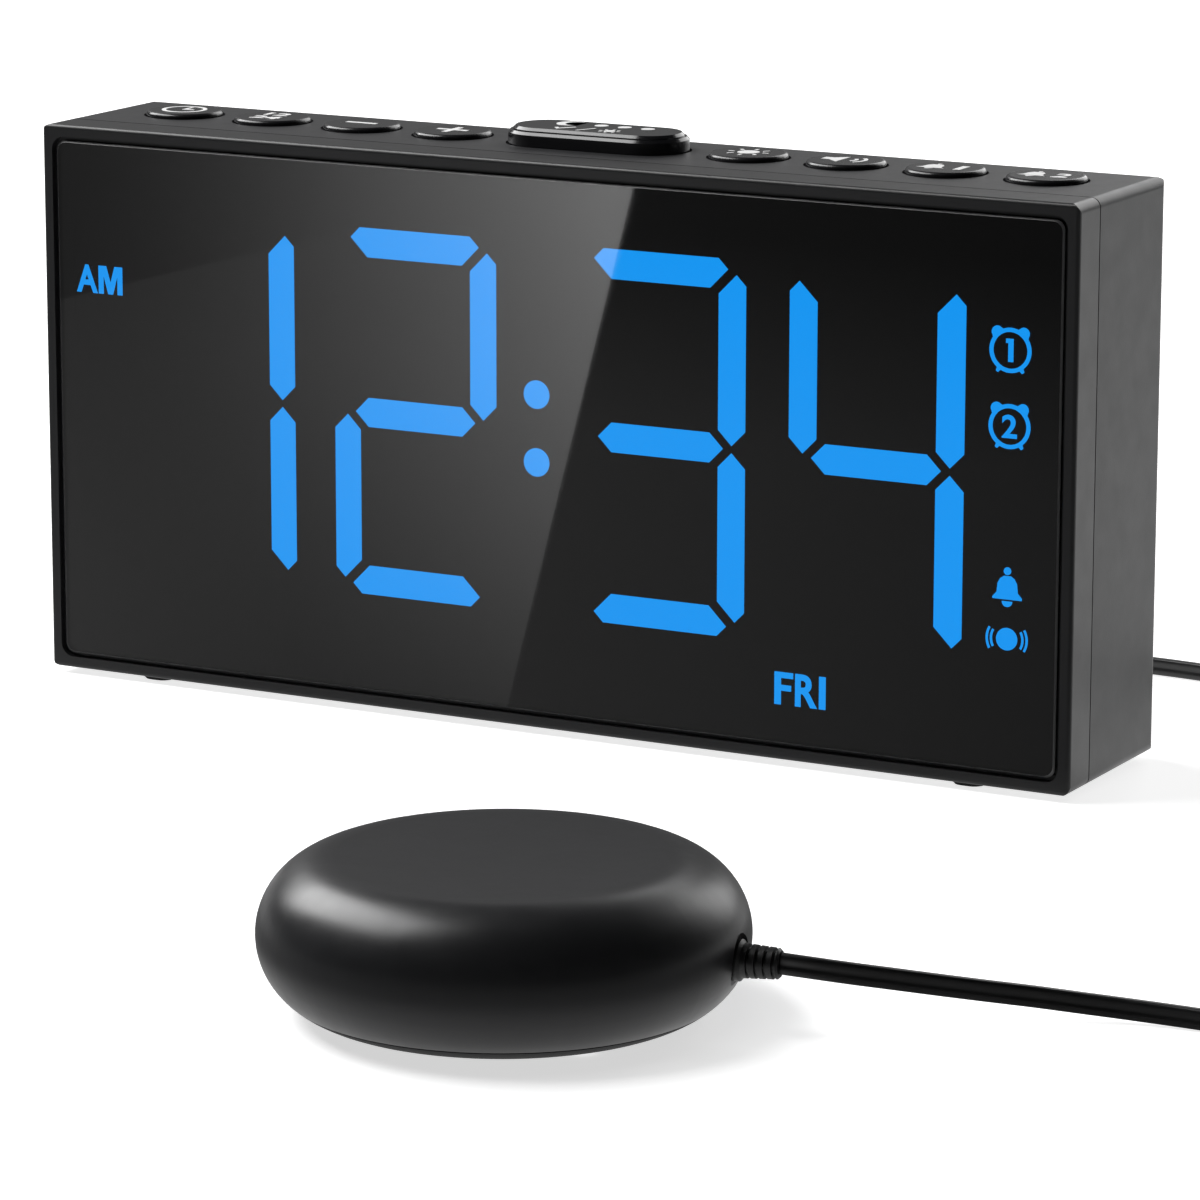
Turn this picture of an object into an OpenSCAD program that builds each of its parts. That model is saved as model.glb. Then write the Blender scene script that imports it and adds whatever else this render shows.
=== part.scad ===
/* [Casing] */
// Width of the clock
case_w = 190; // [184:1:230]
// Height of the casing, without its feet
case_h = 93.6; // [92:0.2:120]
// Depth of the casing
case_d = 34.5; // [33.5:0.5:46]
// Wall of the casing
wall = 2; // [1.6:0.1:2.4]
// Depth of the front frame, back to the parting line
frame_d = 7.8; // [7.6:0.1:9]
// Width of the parting line
seam = 0.3; // [0.2:0.05:0.5]
// Width of the frame's rim beside the lens
rim_w = 1.95; // [1.6:0.05:2.6]
// Radius of the four long corners
corner_r = 1.6; // [1:0.1:3]
// Radius of the front edges
front_r = 0.7; // [0.4:0.1:1]
// Radius of the back edges
back_r = 1.9; // [1:0.1:2]
// Thread of the casing screws
case_screw_d = 2.9; // [2.5:0.1:3.2]

/* [Display] */
// Gap between the frame's rim and the lens
lens_gap = 0.7; // [0.4:0.1:1]
// Thickness of the lens
lens_t = 1; // [0.8:0.1:1.4]
// How far the lens lies behind the rim
lens_drop = 0.2; // [0:0.05:0.5]
// Thickness of the tint film
film_t = 0.2; // [0.1:0.05:0.3]
// Depth of the segment block
block_t = 5; // [4:0.1:5]
// Band beside the digits that holds the small signs
sign_band = 13.55; // [12:0.05:16]
// Space above the digits
digit_top = 8.05; // [6:0.05:14]
// Space below the digits, which holds the weekday
digit_bottom = 13.75; // [12:0.05:20]
// Space between two digits
digit_gap = 7.7; // [5:0.1:10]
// Space from the middle of the colon to the digit beside it
colon_room = 7.4; // [5:0.1:10]
// Width of a lit segment
segment_w = 4.9; // [3.5:0.1:6]
// Gap between segments
segment_gap = 0.8; // [0.5:0.1:1.2]
// Diameter of the colon's dots
colon_d = 4.6; // [3:0.1:6]
// Sideways place of the readout
readout_x = -0.6; // [-1:0.1:1]

/* [Buttons] */
// Diameter of a round button
button_d = 13; // [11:0.5:14]
// From the side of the casing to the middle of the last round button
button_edge = 15; // [14.5:0.5:20]
// Space between the snooze bar and the round button beside it
snooze_gap = 5; // [3:0.5:7]
// How far a round button stands proud
button_h = 0.85; // [0.8:0.05:1.6]
// Travel of a round button
button_travel = 0.7; // [0.4:0.05:0.75]
// Gap round a button in its hole
button_gap = 0.4; // [0.3:0.05:0.6]
// Length of the snooze bar
snooze_l = 32; // [28:0.5:33]
// Width of the snooze bar
snooze_w = 13.5; // [11:0.5:14]
// How far the snooze bar stands proud
snooze_h = 3; // [2.4:0.1:5]
// Travel of the snooze bar
snooze_travel = 1.2; // [0.6:0.05:1.25]

/* [Back] */
// Height of the row of sockets above the table
socket_z = 13; // [12:0.5:18]
// From one socket to the next
socket_pitch = 30; // [26:1:36]
// Bore of the power socket
power_bore = 5.9; // [5.5:0.1:6.2]
// Diameter of the power socket's pin
power_pin = 2; // [1.6:0.1:2.5]
// Diameter of the shaker plug's pin
jack_d = 3.5; // [2.5:0.1:3.5]
// Length of the shaker plug's pin
jack_l = 14; // [8:0.5:14]
// Diameter of the loudspeaker
speaker_d = 28; // [24:1:32]
// Depth of the loudspeaker
speaker_t = 7; // [5:0.5:7.5]
// From the middle to the loudspeaker and to the battery door
back_x = 50; // [46:1:54]
// Height of the loudspeaker and the battery door
back_z = 56; // [50:1:60]
// Width and height of the battery door
door_w = 25; // [23:0.5:28]
// Thickness of the battery door
door_t = 1.6; // [1.4:0.1:2]
// Opening angle of the battery door
door_angle = 95; // [60:5:110]
// Diameter of the backup cell
cell_d = 20; // [16:0.5:20]
// Thickness of the backup cell
cell_t = 3.2; // [2:0.1:3.2]

/* [Feet] */
// Width of a rubber foot
foot_w = 5.7; // [5:0.1:12]
// Depth of a rubber foot, front to back
foot_d = 4.4; // [3:0.1:4.6]
// From the front and the back of the casing to a foot's middle
foot_y = 4.5; // [4.4:0.1:4.6]
// How far a foot stands below the casing
foot_h = 1; // [0.6:0.1:3]
// From the side of the casing to a foot's middle
foot_in = 19; // [14:0.2:30]

/* [Shaker] */
// Diameter of the shaker
puck_d = 68.2; // [66:0.2:80]
// Height of the shaker
puck_h = 21.5; // [21:0.5:24]
// Wall of the shaker's shell
puck_wall = 2; // [1.6:0.1:2]
// Height of the seam round the shaker's base
puck_seam_z = 2.4; // [2.2:0.1:3]
// From the middle of the clock to the shaker
puck_x = 71; // [60:1:120]
// From the clock's front to the shaker
puck_y = 138; // [120:1:160]
// Direction in which the cord leaves the shaker
exit_angle = 10; // [0:1:20]
// Height of the cord where it leaves the shaker
exit_z = 9.6; // [8.5:0.1:11]
// Diameter of the motor
motor_d = 20; // [18:0.5:20.5]
// Height of the motor across its flats
motor_h = 15; // [13:0.5:15]
// Length of the motor's can
motor_l = 22; // [18:0.5:23]
// Diameter of the motor's shaft
shaft_d = 2; // [1.5:0.1:2.3]
// Radius of the eccentric weight
weight_r = 7.5; // [6:0.1:7.5]
// Length of the eccentric weight
weight_l = 8; // [5:0.5:9]

/* [Cord] */
// Width of the twin cord
cord_w = 3; // [2.6:0.1:3.4]
// Thickness of the twin cord
cord_t = 1.5; // [1.3:0.1:1.7]

/* [Hidden] */
$fn = 48;

// Small clearances that the fits share
fit = 0.1;
running = 0.05;
seat = 0.2;
// Overlap where two forms of one piece join
lap = 0.02;

// Heights of the casing above the table
case_z0 = foot_h;
case_z1 = foot_h + case_h;
roof_z = case_z1 - wall;
floor_z = case_z0 + wall;
half_w = case_w / 2;
inner_x = half_w - wall;
back_y = case_d;
back_in_y = case_d - wall;

// Place of the clock and the shaker about the middle of the whole
mid_x = (max(half_w, puck_x + puck_d / 2) + min(-half_w, puck_x - puck_d / 2)) / 2;
mid_y = (case_d - puck_y - puck_d / 2) / 2;

// Lens, film and segment block, front to back
lens_x = half_w - rim_w - lens_gap;
lens_z0 = case_z0 + rim_w + lens_gap;
lens_z1 = case_z1 - rim_w - lens_gap;
lens_r = 1.6;
lens_y1 = lens_drop + lens_t;
ledge_w = 2.3;
block_x = lens_x - ledge_w - seat;
block_z0 = lens_z0 + ledge_w + seat;
block_z1 = lens_z1 - ledge_w - seat;
film_y1 = lens_y1 + film_t;
block_y1 = film_y1 + block_t;
board_t = 1.6;
display_board_y1 = block_y1 + board_t;
digit_w = (block_x - sign_band - colon_room - digit_gap) / 2;
digit_h = block_z1 - block_z0 - digit_top - digit_bottom;
readout_z = block_z0 + digit_bottom + digit_h / 2;

// Small signs: middle of their band, and each window's height above the digits' middle, width and height
sign_x = block_x - sign_band / 2 + 0.3;
day_half = [18, 11.4, 5.2];
alarm_one = [20.35, 9, 9];
alarm_two = [8.35, 9, 9];
bell = [-17.35, 6, 6.6];
shaking = [-25.8, 8.4, 4.4];
weekday_z = block_z0 + 6.35;
weekday_in = 2.3;
weekday_w = 10.2;
weekday_h = 6;
colon_dz = 5.55;

// Feet, set into the casing
foot_sink = 0.8;

// Casing screws and their bosses
post_d = 8.4;
post_x = inner_x - post_d / 2 + 0.2;
post_z_low = floor_z + 4.6;
post_z_high = roof_z - 5.5;
boss_d = 6.4;
boss_y1 = 11;
well_d = 6;
well_y0 = 18;
screw_head_d = 5.4;
screw_head_t = 2;
screw_grip = 7;
screw_tip_y = boss_y1 - screw_grip;
tongue_t = 1;
tongue_y1 = frame_d + 2.7;

// Keys, from the roof down to the key board
keys_y = (frame_d + case_d) / 2;
tab_t = 1.2;
tab_w = 8;
tab_out = 1.5;
stem_l = 0.9;
stem_d = 5;
plunger_d = 3;
plunger_proud = 1.5;
plunger_deep = 2;
switch_h = 4;
switch_w = 6;
snooze_stem_x = 9;
tab_z1 = roof_z - seat;
tab_z0 = tab_z1 - tab_t;
plunger_z1 = tab_z0 - stem_l;
switch_z1 = plunger_z1 - plunger_proud;
key_board_z1 = switch_z1 - switch_h;
key_board_z0 = key_board_z1 - board_t;
button_first = snooze_l / 2 + snooze_gap + button_d / 2;
button_pitch = (half_w - button_edge - button_first) / 3;
key_x = [for (i = [0:3]) button_first + i * button_pitch];
key_board_x = post_x - post_d / 2 - 0.6;
key_board_half = button_d / 2 + 2.3;
key_board_y0 = keys_y - key_board_half;
key_board_y1 = keys_y + key_board_half;
key_post_d = 4.4;
key_post_x = key_x[1] + button_pitch / 2;
key_post_dy = 6.8;
pilot_d = 1.7;
pilot_deep = 5;
board_screw_grip = 4;

// Main board and the sockets on it
socket_end = 0.5;
main_y1 = back_in_y - jack_l - socket_end;
main_y0 = main_y1 - board_t;
main_x = 66;
main_z0 = floor_z + 3;
main_over = 16;
main_z1 = back_z + main_over;
ribbon_up = 30;
ribbon_z = main_z0 + ribbon_up;
ribbon_w = 12;
ribbon_t = 0.6;
plug_in = 8;
main_boss_low = [main_x - 4, main_z0 + 4];
main_boss_high = [20, main_z1 - 4];
main_boss_d = 5.6;
nose_y1 = back_y - 0.2;
power_x = -socket_pitch;
usb_x = 0;
jack_x = socket_pitch;
power_nose_d = power_bore + 1.8;
jack_nose_d = jack_d + 2.5;
socket_clear = 0.2;
usb_w = 13.2;
usb_h = 5.9;
usb_shell = 0.4;

// Battery compartment behind the door
tub_x = -back_x;
tub_wall = 1.2;
tub_half = cell_d / 2 + 0.6;
door_gap = 0.3;
door_y0 = back_y - door_t;
cell_y1 = door_y0 - 0.8;
cell_y0 = cell_y1 - cell_t;
tub_floor_y = cell_y0 - 0.8;
hinge_r = door_t / 2;
hinge_z = back_z - door_w / 2 + hinge_r;
hinge_y = back_y - hinge_r;
hinge_pin_d = 1;
hinge_pin_l = 1.4;

// Loudspeaker and its grille
speaker_x = back_x;
speaker_y1 = back_in_y;
grille_d = 1.8;
grille_pitch = 3.6;
speaker_rib_t = 1.2;

// Shaker, in its own axes with the cord leaving along X
puck_r = puck_h / 2;
puck_flat = puck_d / 2 - puck_r;
puck_in_z = puck_h - puck_wall;
base_t = puck_seam_z - 0.2;
motor_z = puck_h / 2;
motor_z0 = motor_z - motor_h / 2;
motor_x0 = -8;
motor_x1 = motor_x0 + motor_l;
end_cap_l = 3;
neck_d = 6;
neck_l = 1.4;
shaft_in = 4;
weight_x1 = motor_x0 - neck_l - 1;
weight_x0 = weight_x1 - weight_l;
weight_hub_d = 5;
clamp_t = 0.5;
clamp_l = 8;
clamp_x = motor_x0 + motor_l / 2;
clamp_foot = 5;
clamp_foot_z = 6;
cradle_t = 2;
cradle_w = 12;
clamp_post_y = motor_d / 2 + clamp_t + clamp_foot / 2;
puck_boss_r = puck_flat + 0.3;
puck_boss_d = 6;
puck_boss_angles = [90, 225, 315];
puck_screw_d = 2.6;
puck_screw_reach = 8;
outer_at_exit = puck_flat + sqrt(puck_r * puck_r - pow(exit_z - puck_r, 2));
relief_face_x = outer_at_exit - 0.9;
relief_boss_x = outer_at_exit - 4.1;
relief_hole_d = 5;
relief_boss_d = 9;
relief_spot_d = 7.4;
relief_collar_d = 5.8;
relief_collar_t = 0.9;
relief_d0 = 4.9;
relief_d1 = 4.3;
relief_end_x = 39.6;
relief_ribs = 4;

// Cord route from the shaker to the coil, on the table after the first bend
front_route = [[110, -131.1, 9.6], [114, -129.8, 9.2], [118.3, -126.9, 8.3], [123.1, -122.5, 7],
    [127.8, -117.8, 5.6], [132.6, -113.3, 4.3], [138, -109.3, 3.2], [144, -106.2, 2.3],
    [151, -104, 1.7], [160, -103.2, 1.5], [170, -103.5, 1.5], [180, -104.2, 1.5],
    [190, -104.35, 1.5]];
// Cord route from the coil to the plug in the back of the clock
rear_route = [[211.9, -82, 4.6], [212, -72, 4], [211.5, -60, 2.3], [210, -46, 1.5],
    [206.5, -30, 1.5], [201, -12, 1.5], [193.5, 6, 1.5], [183.5, 24, 1.5], [171, 41, 1.5],
    [156, 56, 1.5], [139, 68.5, 1.5], [120, 78, 1.5], [100, 84.5, 1.5], [80, 87.4, 1.5],
    [62, 87, 1.9], [47, 82.5, 4.2], [36, 75, 8.2], [31, 67, 11.8], [30, 60.5, 13]];
coil_x = 190;
coil_y = -82;
coil_r = 17.25;
coil_columns = 6;
coil_rows = 2;
coil_step = cord_t + 0.2;
coil_rise = cord_w + 0.15;
coil_half = (coil_columns * coil_step + cord_t) / 2;
coil_h = cord_w + (coil_rows - 1) * coil_rise;
tie_angle = 16;
tie_t = 0.6;
tie_gap = 0.05;
grip_d = 8.4;
grip_l = 18;
grip_neck_l = 8;
plug_y0 = nose_y1 + 0.2;

module on_clock() {
    translate([-mid_x, -mid_y, 0]) children();
}

module in_shaker() {
    on_clock() translate([puck_x, -puck_y, 0]) rotate([0, 0, exit_angle]) children();
}

// A flat outline from (x0, y0) to (x1, y1) with a radius at the low and the high end of its second axis
module rounded(x0, y0, x1, y1, r0, r1) {
    union() {
        translate([x0, y0 + r0]) square([x1 - x0, y1 - y0 - r0 - r1]);
        translate([x0 + r0, y0]) square([x1 - x0 - 2 * r0, r0 + lap]);
        translate([x0 + r1, y1 - r1 - lap]) square([x1 - x0 - 2 * r1, r1 + lap]);
        for (x = [x0 + r0, x1 - r0]) translate([x, y0 + r0]) circle(r0);
        for (x = [x0 + r1, x1 - r1]) translate([x, y1 - r1]) circle(r1);
    }
}

// A slab that faces the front, with round corners
module slab(x0, z0, x1, z1, y0, y1, r) {
    translate([0, y1, 0]) rotate([90, 0, 0]) linear_extrude(y1 - y0) rounded(x0, z0, x1, z1, r, r);
}

// A cylinder along the depth of the clock
module bar_y(x, z, d, y0, y1) {
    translate([x, y1, z]) rotate([90, 0, 0]) cylinder(d = d, h = y1 - y0);
}

module box(x0, y0, z0, x1, y1, z1) {
    translate([x0, y0, z0]) cube([x1 - x0, y1 - y0, z1 - z0]);
}

// The outside of the whole casing, with each edge at its own radius
module casing_outside() {
    intersection() {
        slab(-half_w, case_z0, half_w, case_z1, 0, back_y, corner_r);
        translate([0, 0, case_z0 - 1]) linear_extrude(case_h + 2)
            rounded(-half_w, 0, half_w, back_y, front_r, back_r);
        translate([-half_w - 1, 0, 0]) rotate([90, 0, 90]) linear_extrude(case_w + 2)
            side_outline();
    }
}

// Depth across and height up, with the front and the back edges rounded
module side_outline() {
    union() {
        translate([front_r, case_z0]) square([back_y - front_r - back_r, case_h]);
        translate([0, case_z0 + front_r]) square([front_r + lap, case_h - 2 * front_r]);
        translate([back_y - back_r - lap, case_z0 + back_r])
            square([back_r + lap, case_h - 2 * back_r]);
        for (z = [case_z0 + front_r, case_z1 - front_r]) translate([front_r, z]) circle(front_r);
        for (z = [case_z0 + back_r, case_z1 - back_r]) translate([back_y - back_r, z]) circle(back_r);
    }
}

module post_places() {
    for (x = [-post_x, post_x], z = [post_z_low, post_z_high]) translate([x, 0, z]) children();
}

// The space inside the tongue that fits into the rear housing
module inside_tongue(y0, y1) {
    off = fit + tongue_t;
    box(-inner_x + off, y0, floor_z + off, inner_x - off, y1, roof_z - off);
}

module front_frame() {
    ledge_y1 = block_y1;
    color("#2b2c2f") on_clock() difference() {
        union() {
            difference() {
                intersection() {
                    casing_outside();
                    box(-half_w, 0, case_z0, half_w, frame_d - seam / 2, case_z1);
                }
                slab(-half_w + rim_w, case_z0 + rim_w, half_w - rim_w, case_z1 - rim_w,
                    -1, lens_y1, lens_r + lens_gap);
                box(-lens_x + ledge_w, lens_y1 - 1, lens_z0 + ledge_w,
                    lens_x - ledge_w, frame_d + 1, lens_z1 - ledge_w);
                inside_tongue(ledge_y1, frame_d + 1);
            }
            difference() {
                box(-inner_x + fit, ledge_y1, floor_z + fit, inner_x - fit, tongue_y1, roof_z - fit);
                inside_tongue(ledge_y1 - 1, tongue_y1 + 1);
            }
            post_places() bar_y(0, 0, boss_d, film_y1, boss_y1);
        }
        post_places() bar_y(0, 0, case_screw_d - 0.5, screw_tip_y - 0.5, boss_y1 + 1);
        foot_pockets();
    }
}

module key_holes() {
    for (x = key_x, s = [-1, 1]) translate([s * x, keys_y, roof_z - 1])
        cylinder(d = button_d + 2 * button_gap, h = wall + 2);
    translate([0, keys_y, roof_z - 1]) stadium(snooze_l + 2 * button_gap, snooze_w + 2 * button_gap, wall + 2);
}

// An upright prism with straight sides and round ends
module stadium(l, w, h) {
    for (s = [-1, 1]) translate([s * (l - w) / 2, 0, 0]) cylinder(d = w, h = h);
    translate([-(l - w) / 2, -w / 2, 0]) cube([l - w, w, h]);
}

module grille_holes() {
    for (ring = [0:3], k = [0:max(1, 6 * ring) - 1])
        let (a = ring == 0 ? 0 : 360 * k / (6 * ring))
        bar_y(speaker_x + ring * grille_pitch * cos(a), back_z + ring * grille_pitch * sin(a),
            grille_d, back_in_y - 1, back_y + 1);
}

module rear_housing() {
    tub_y0 = tub_floor_y - tub_wall;
    tub_out = tub_half + tub_wall;
    door_half = door_w / 2 + door_gap;
    color("#5d5e62") on_clock() difference() {
        union() {
            difference() {
                intersection() {
                    casing_outside();
                    box(-half_w, frame_d + seam / 2, case_z0, half_w, back_y, case_z1);
                }
                box(-inner_x, 0, floor_z, inner_x, back_in_y, roof_z);
            }
            post_places() bar_y(0, 0, post_d, boss_y1 + fit, back_in_y + 0.5);
            for (x = [-key_post_x, key_post_x], y = [keys_y - key_post_dy, keys_y + key_post_dy])
                translate([x, y, key_board_z1]) cylinder(d = key_post_d, h = roof_z - key_board_z1 + 0.5);
            main_bosses(main_boss_d, main_y1, back_in_y + 0.5);
            box(tub_x - tub_out, tub_y0, back_z - tub_out, tub_x + tub_out, back_in_y + 0.5, back_z + tub_out);
            difference() {
                bar_y(speaker_x, back_z, speaker_d + 2 * fit + 2 * speaker_rib_t,
                    speaker_y1 - speaker_t, back_in_y + 0.5);
                bar_y(speaker_x, back_z, speaker_d + 2 * fit, 0, back_in_y);
            }
        }
        post_places() {
            bar_y(0, 0, case_screw_d + 0.4, 0, back_y + 1);
            bar_y(0, 0, well_d, well_y0, back_y + 1);
        }
        for (x = [-key_post_x, key_post_x], y = [keys_y - key_post_dy, keys_y + key_post_dy])
            translate([x, y, key_board_z1 - 1]) cylinder(d = pilot_d, h = pilot_deep + 1);
        main_bosses(pilot_d, 0, main_y1 + pilot_deep);
        box(tub_x - tub_half, tub_floor_y, back_z - tub_half, tub_x + tub_half, back_y + 1, back_z + tub_half);
        box(tub_x - door_half, door_y0 - 0.1, back_z - door_half, tub_x + door_half, back_y + 1,
            back_z + door_half);
        translate([tub_x - door_half - hinge_pin_l, hinge_y, hinge_z]) rotate([0, 90, 0])
            cylinder(d = hinge_pin_d + 2 * running, h = 2 * (door_half + hinge_pin_l));
        grille_holes();
        key_holes();
        bar_y(power_x, socket_z, power_nose_d + 2 * socket_clear, back_in_y - 1, back_y + 1);
        bar_y(jack_x, socket_z, jack_nose_d + 2 * socket_clear, back_in_y - 1, back_y + 1);
        box(usb_x - usb_w / 2 - socket_clear, back_in_y - 1, socket_z - usb_h / 2 - socket_clear,
            usb_x + usb_w / 2 + socket_clear, back_y + 1, socket_z + usb_h / 2 + socket_clear);
        foot_pockets();
    }
}

module main_bosses(d, y0, y1) {
    for (s = [-1, 1]) {
        bar_y(s * main_boss_low[0], main_boss_low[1], d, y0, y1);
        bar_y(s * main_boss_high[0], main_boss_high[1], d, y0, y1);
    }
}

module foot_places() {
    for (x = [-half_w + foot_in, half_w - foot_in], y = [foot_y, case_d - foot_y])
        translate([x, y, case_z0]) children();
}

module foot_pockets() {
    foot_places() translate([0, 0, -1]) stadium(foot_w + 2 * fit, foot_d + 2 * fit, 1 + foot_sink);
}

module rubber_feet() {
    edge = 0.3;
    color("#1d1d1f") on_clock() foot_places() {
        translate([0, 0, -foot_h]) stadium(foot_w - 2 * edge, foot_d - 2 * edge, foot_h);
        translate([0, 0, -foot_h + edge]) stadium(foot_w, foot_d, foot_h - edge + foot_sink);
    }
}

module casing_screws() {
    color("#8d8f92") on_clock() post_places() {
        bar_y(0, 0, case_screw_d, screw_tip_y, well_y0 + lap);
        difference() {
            bar_y(0, 0, screw_head_d, well_y0, well_y0 + screw_head_t);
            for (a = [0, 90]) translate([0, well_y0 + screw_head_t, 0]) rotate([0, a, 0])
                cube([2.8, 2, 0.7], center = true);
        }
    }
}

module display_lens() {
    color("#101113") on_clock() slab(-lens_x, lens_z0, lens_x, lens_z1, lens_drop, lens_y1, lens_r);
}

module tint_film() {
    color("#2a2d33") on_clock() box(-block_x, lens_y1, block_z0, block_x, film_y1, block_z1);
}

// A level bar of a digit, its outer edge on Y = 0, its pointed ends tip from that edge
module level_bar(l, tip) {
    polygon([[-l / 2, -tip], [-l / 2 + tip, 0], [l / 2 - tip, 0], [l / 2, -tip],
        [l / 2 - segment_w + tip, -segment_w], [-l / 2 + segment_w - tip, -segment_w]]);
}

// An upright bar, its outer edge on X = 0 and its outer end up
module upright_bar(l, tip) {
    w = segment_w;
    polygon([[0, l - tip], [tip, l], [w, l - w + tip], [w, w / 2], [w / 2, 0], [0, w / 2]]);
}

// Segments a to g of one digit about its centre
module segment(name) {
    tip = segment_w * 0.35;
    half_h = digit_h / 2;
    level = digit_w - 2 * tip - 2 * segment_gap - 1.4;
    upright = half_h - tip - segment_gap * 1.7;
    if (name == "a") translate([0, half_h]) level_bar(level, tip);
    if (name == "d") mirror([0, 1]) translate([0, half_h]) level_bar(level, tip);
    if (name == "g") translate([0, segment_w / 2]) level_bar(level - 1.5, segment_w / 2);
    if (name == "f") translate([-digit_w / 2, half_h - tip - segment_gap - upright]) upright_bar(upright, tip);
    if (name == "b") mirror([1, 0]) segment("f");
    if (name == "e") mirror([0, 1]) segment("f");
    if (name == "c") mirror([1, 0]) mirror([0, 1]) segment("f");
}

digit_inner = colon_room + digit_w / 2;
digit_outer = digit_inner + digit_gap + digit_w;
function digit_x(i) = readout_x + [-digit_outer, -digit_inner, digit_inner, digit_outer][i];
LIT = ["bc", "abged", "abgcd", "fgbc"];

// The bars of all digits that are lit, or those that are dark
module bars(lit) {
    for (i = [0:3], name = ["a", "b", "c", "d", "e", "f", "g"])
        if ((len(search(name, LIT[i])) > 0) == lit) translate([digit_x(i), readout_z]) segment(name);
}

module guides(y0, y1) {
    translate([0, y1, 0]) rotate([90, 0, 0]) linear_extrude(y1 - y0) children();
}

// The colon, and a window for each small sign
module window(x, z, size) {
    translate([x, readout_z + z]) square(size, center = true);
}

module indicators() {
    for (s = [-1, 1]) translate([readout_x, readout_z + s * colon_dz]) circle(d = colon_d);
    window(-sign_x, day_half[0], [day_half[1], day_half[2]]);
    for (sign = [alarm_one, alarm_two, bell, shaking])
        window(sign_x, sign[0], [sign[1], sign[2]]);
    translate([digit_x(2) + digit_w / 2 + digit_gap + weekday_in, weekday_z])
        square([weekday_w, weekday_h], center = true);
}

// Room for the frame's four bosses in the corners of what lies between them
module corner_notches() {
    half = boss_d / 2 + fit;
    for (s = [-1, 1]) {
        x0 = s > 0 ? post_x - half : -half_w;
        box(x0, 0, case_z0, x0 + half_w - post_x + half, boss_y1, post_z_low + half);
        box(x0, 0, post_z_high - half, x0 + half_w - post_x + half, boss_y1, case_z1);
    }
}

module segment_block() {
    color("#141518") on_clock() difference() {
        box(-block_x, film_y1, block_z0, block_x, block_y1, block_z1);
        guides(film_y1 - 1, block_y1 + 1) {
            bars(true);
            bars(false);
            indicators();
        }
        corner_notches();
    }
}

module lit_segments() {
    color("#1994ed") on_clock() guides(film_y1, block_y1) bars(true);
}

module dark_segments() {
    color("#2c3138") on_clock() guides(film_y1, block_y1) bars(false);
}

module lit_indicators() {
    color("#1994ed") on_clock() guides(film_y1, block_y1) indicators();
}

module display_board() {
    edge = 1.4;
    color("#1f5a38") on_clock() difference() {
        box(-block_x - edge, block_y1, block_z0 - edge, block_x + edge, display_board_y1, block_z1 + edge);
        corner_notches();
    }
}

module main_board() {
    color("#1f5a38") on_clock() difference() {
        box(-main_x, main_y0, main_z0, main_x, main_y1, main_z1);
        main_bosses(pilot_d + 0.6, 0, back_y);
    }
}

module key_board() {
    color("#1f5a38") on_clock() difference() {
        box(-key_board_x, key_board_y0, key_board_z0, key_board_x, key_board_y1, key_board_z1);
        for (x = [-key_post_x, key_post_x], y = [keys_y - key_post_dy, keys_y + key_post_dy])
            translate([x, y, key_board_z0 - 1]) cylinder(d = pilot_d + 0.6, h = board_t + 2);
    }
}

switch_x = concat([for (s = [-1, 1], x = key_x) s * x], [-snooze_stem_x, snooze_stem_x]);

module key_switches() {
    color("#c9cbcd") on_clock() for (x = switch_x) difference() {
        box(x - switch_w / 2, keys_y - switch_w / 2, key_board_z1, x + switch_w / 2,
            keys_y + switch_w / 2, switch_z1);
        translate([x, keys_y, key_board_z1 + 0.5]) cylinder(d = plunger_d + 2 * running, h = switch_h);
    }
}

module board_screw(l) {
    cylinder(d = pilot_d, h = l);
    translate([0, 0, -1.2]) cylinder(d = 3.6, h = 1.2);
}

module board_screws() {
    color("#8d8f92") on_clock() {
        for (x = [-key_post_x, key_post_x], y = [keys_y - key_post_dy, keys_y + key_post_dy])
            translate([x, y, key_board_z0]) board_screw(board_t + board_screw_grip);
        for (s = [-1, 1], p = [main_boss_low, main_boss_high])
            translate([s * p[0], main_y0, p[1]]) rotate([-90, 0, 0]) board_screw(board_t + board_screw_grip);
    }
}

// A round key seen from the side: cap, with its edge rolled over
module cap_outline(r, z0, z1, edge) {
    union() {
        translate([0, z0]) square([r, z1 - z0 - edge]);
        translate([0, z1 - edge - lap]) square([r - edge, edge + lap]);
        translate([r - edge, z1 - edge]) intersection() {
            circle(edge);
            square([edge, edge]);
        }
    }
}

module button(i) {
    x = i < 4 ? -key_x[3 - i] : key_x[i - 4];
    color("#37383b") on_clock() translate([x, keys_y, 0]) {
        rotate_extrude() cap_outline(button_d / 2, tab_z1 - lap, case_z1 + button_h, 0.7);
        translate([-tab_w / 2, -button_d / 2 - tab_out, tab_z0])
            cube([tab_w, button_d + 2 * tab_out, tab_t]);
        translate([0, 0, plunger_z1]) cylinder(d = stem_d, h = stem_l + lap);
    }
}

module plunger(x) {
    color("#e7e7e4") on_clock() translate([x, keys_y, switch_z1 - plunger_deep])
        cylinder(d = plunger_d, h = plunger_proud + plunger_deep);
}

module key_plunger(i) {
    plunger(i < 4 ? -key_x[3 - i] : key_x[i - 4]);
}

module snooze_plungers() {
    for (x = [-snooze_stem_x, snooze_stem_x]) plunger(x);
}

// Half of the snooze bar's section: an upright wall, a slope, a ledge and a raised top
snooze_outline = [[0, tab_z1 - lap], [snooze_w / 2, tab_z1 - lap], [snooze_w / 2, case_z1 + snooze_h - 1.1],
    [snooze_w / 2 - 0.45, case_z1 + snooze_h - 0.65], [snooze_w / 2 - 0.85, case_z1 + snooze_h - 0.65],
    [snooze_w / 2 - 0.85, case_z1 + snooze_h - 0.45], [snooze_w / 2 - 1.3, case_z1 + snooze_h],
    [0, case_z1 + snooze_h]];

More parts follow.
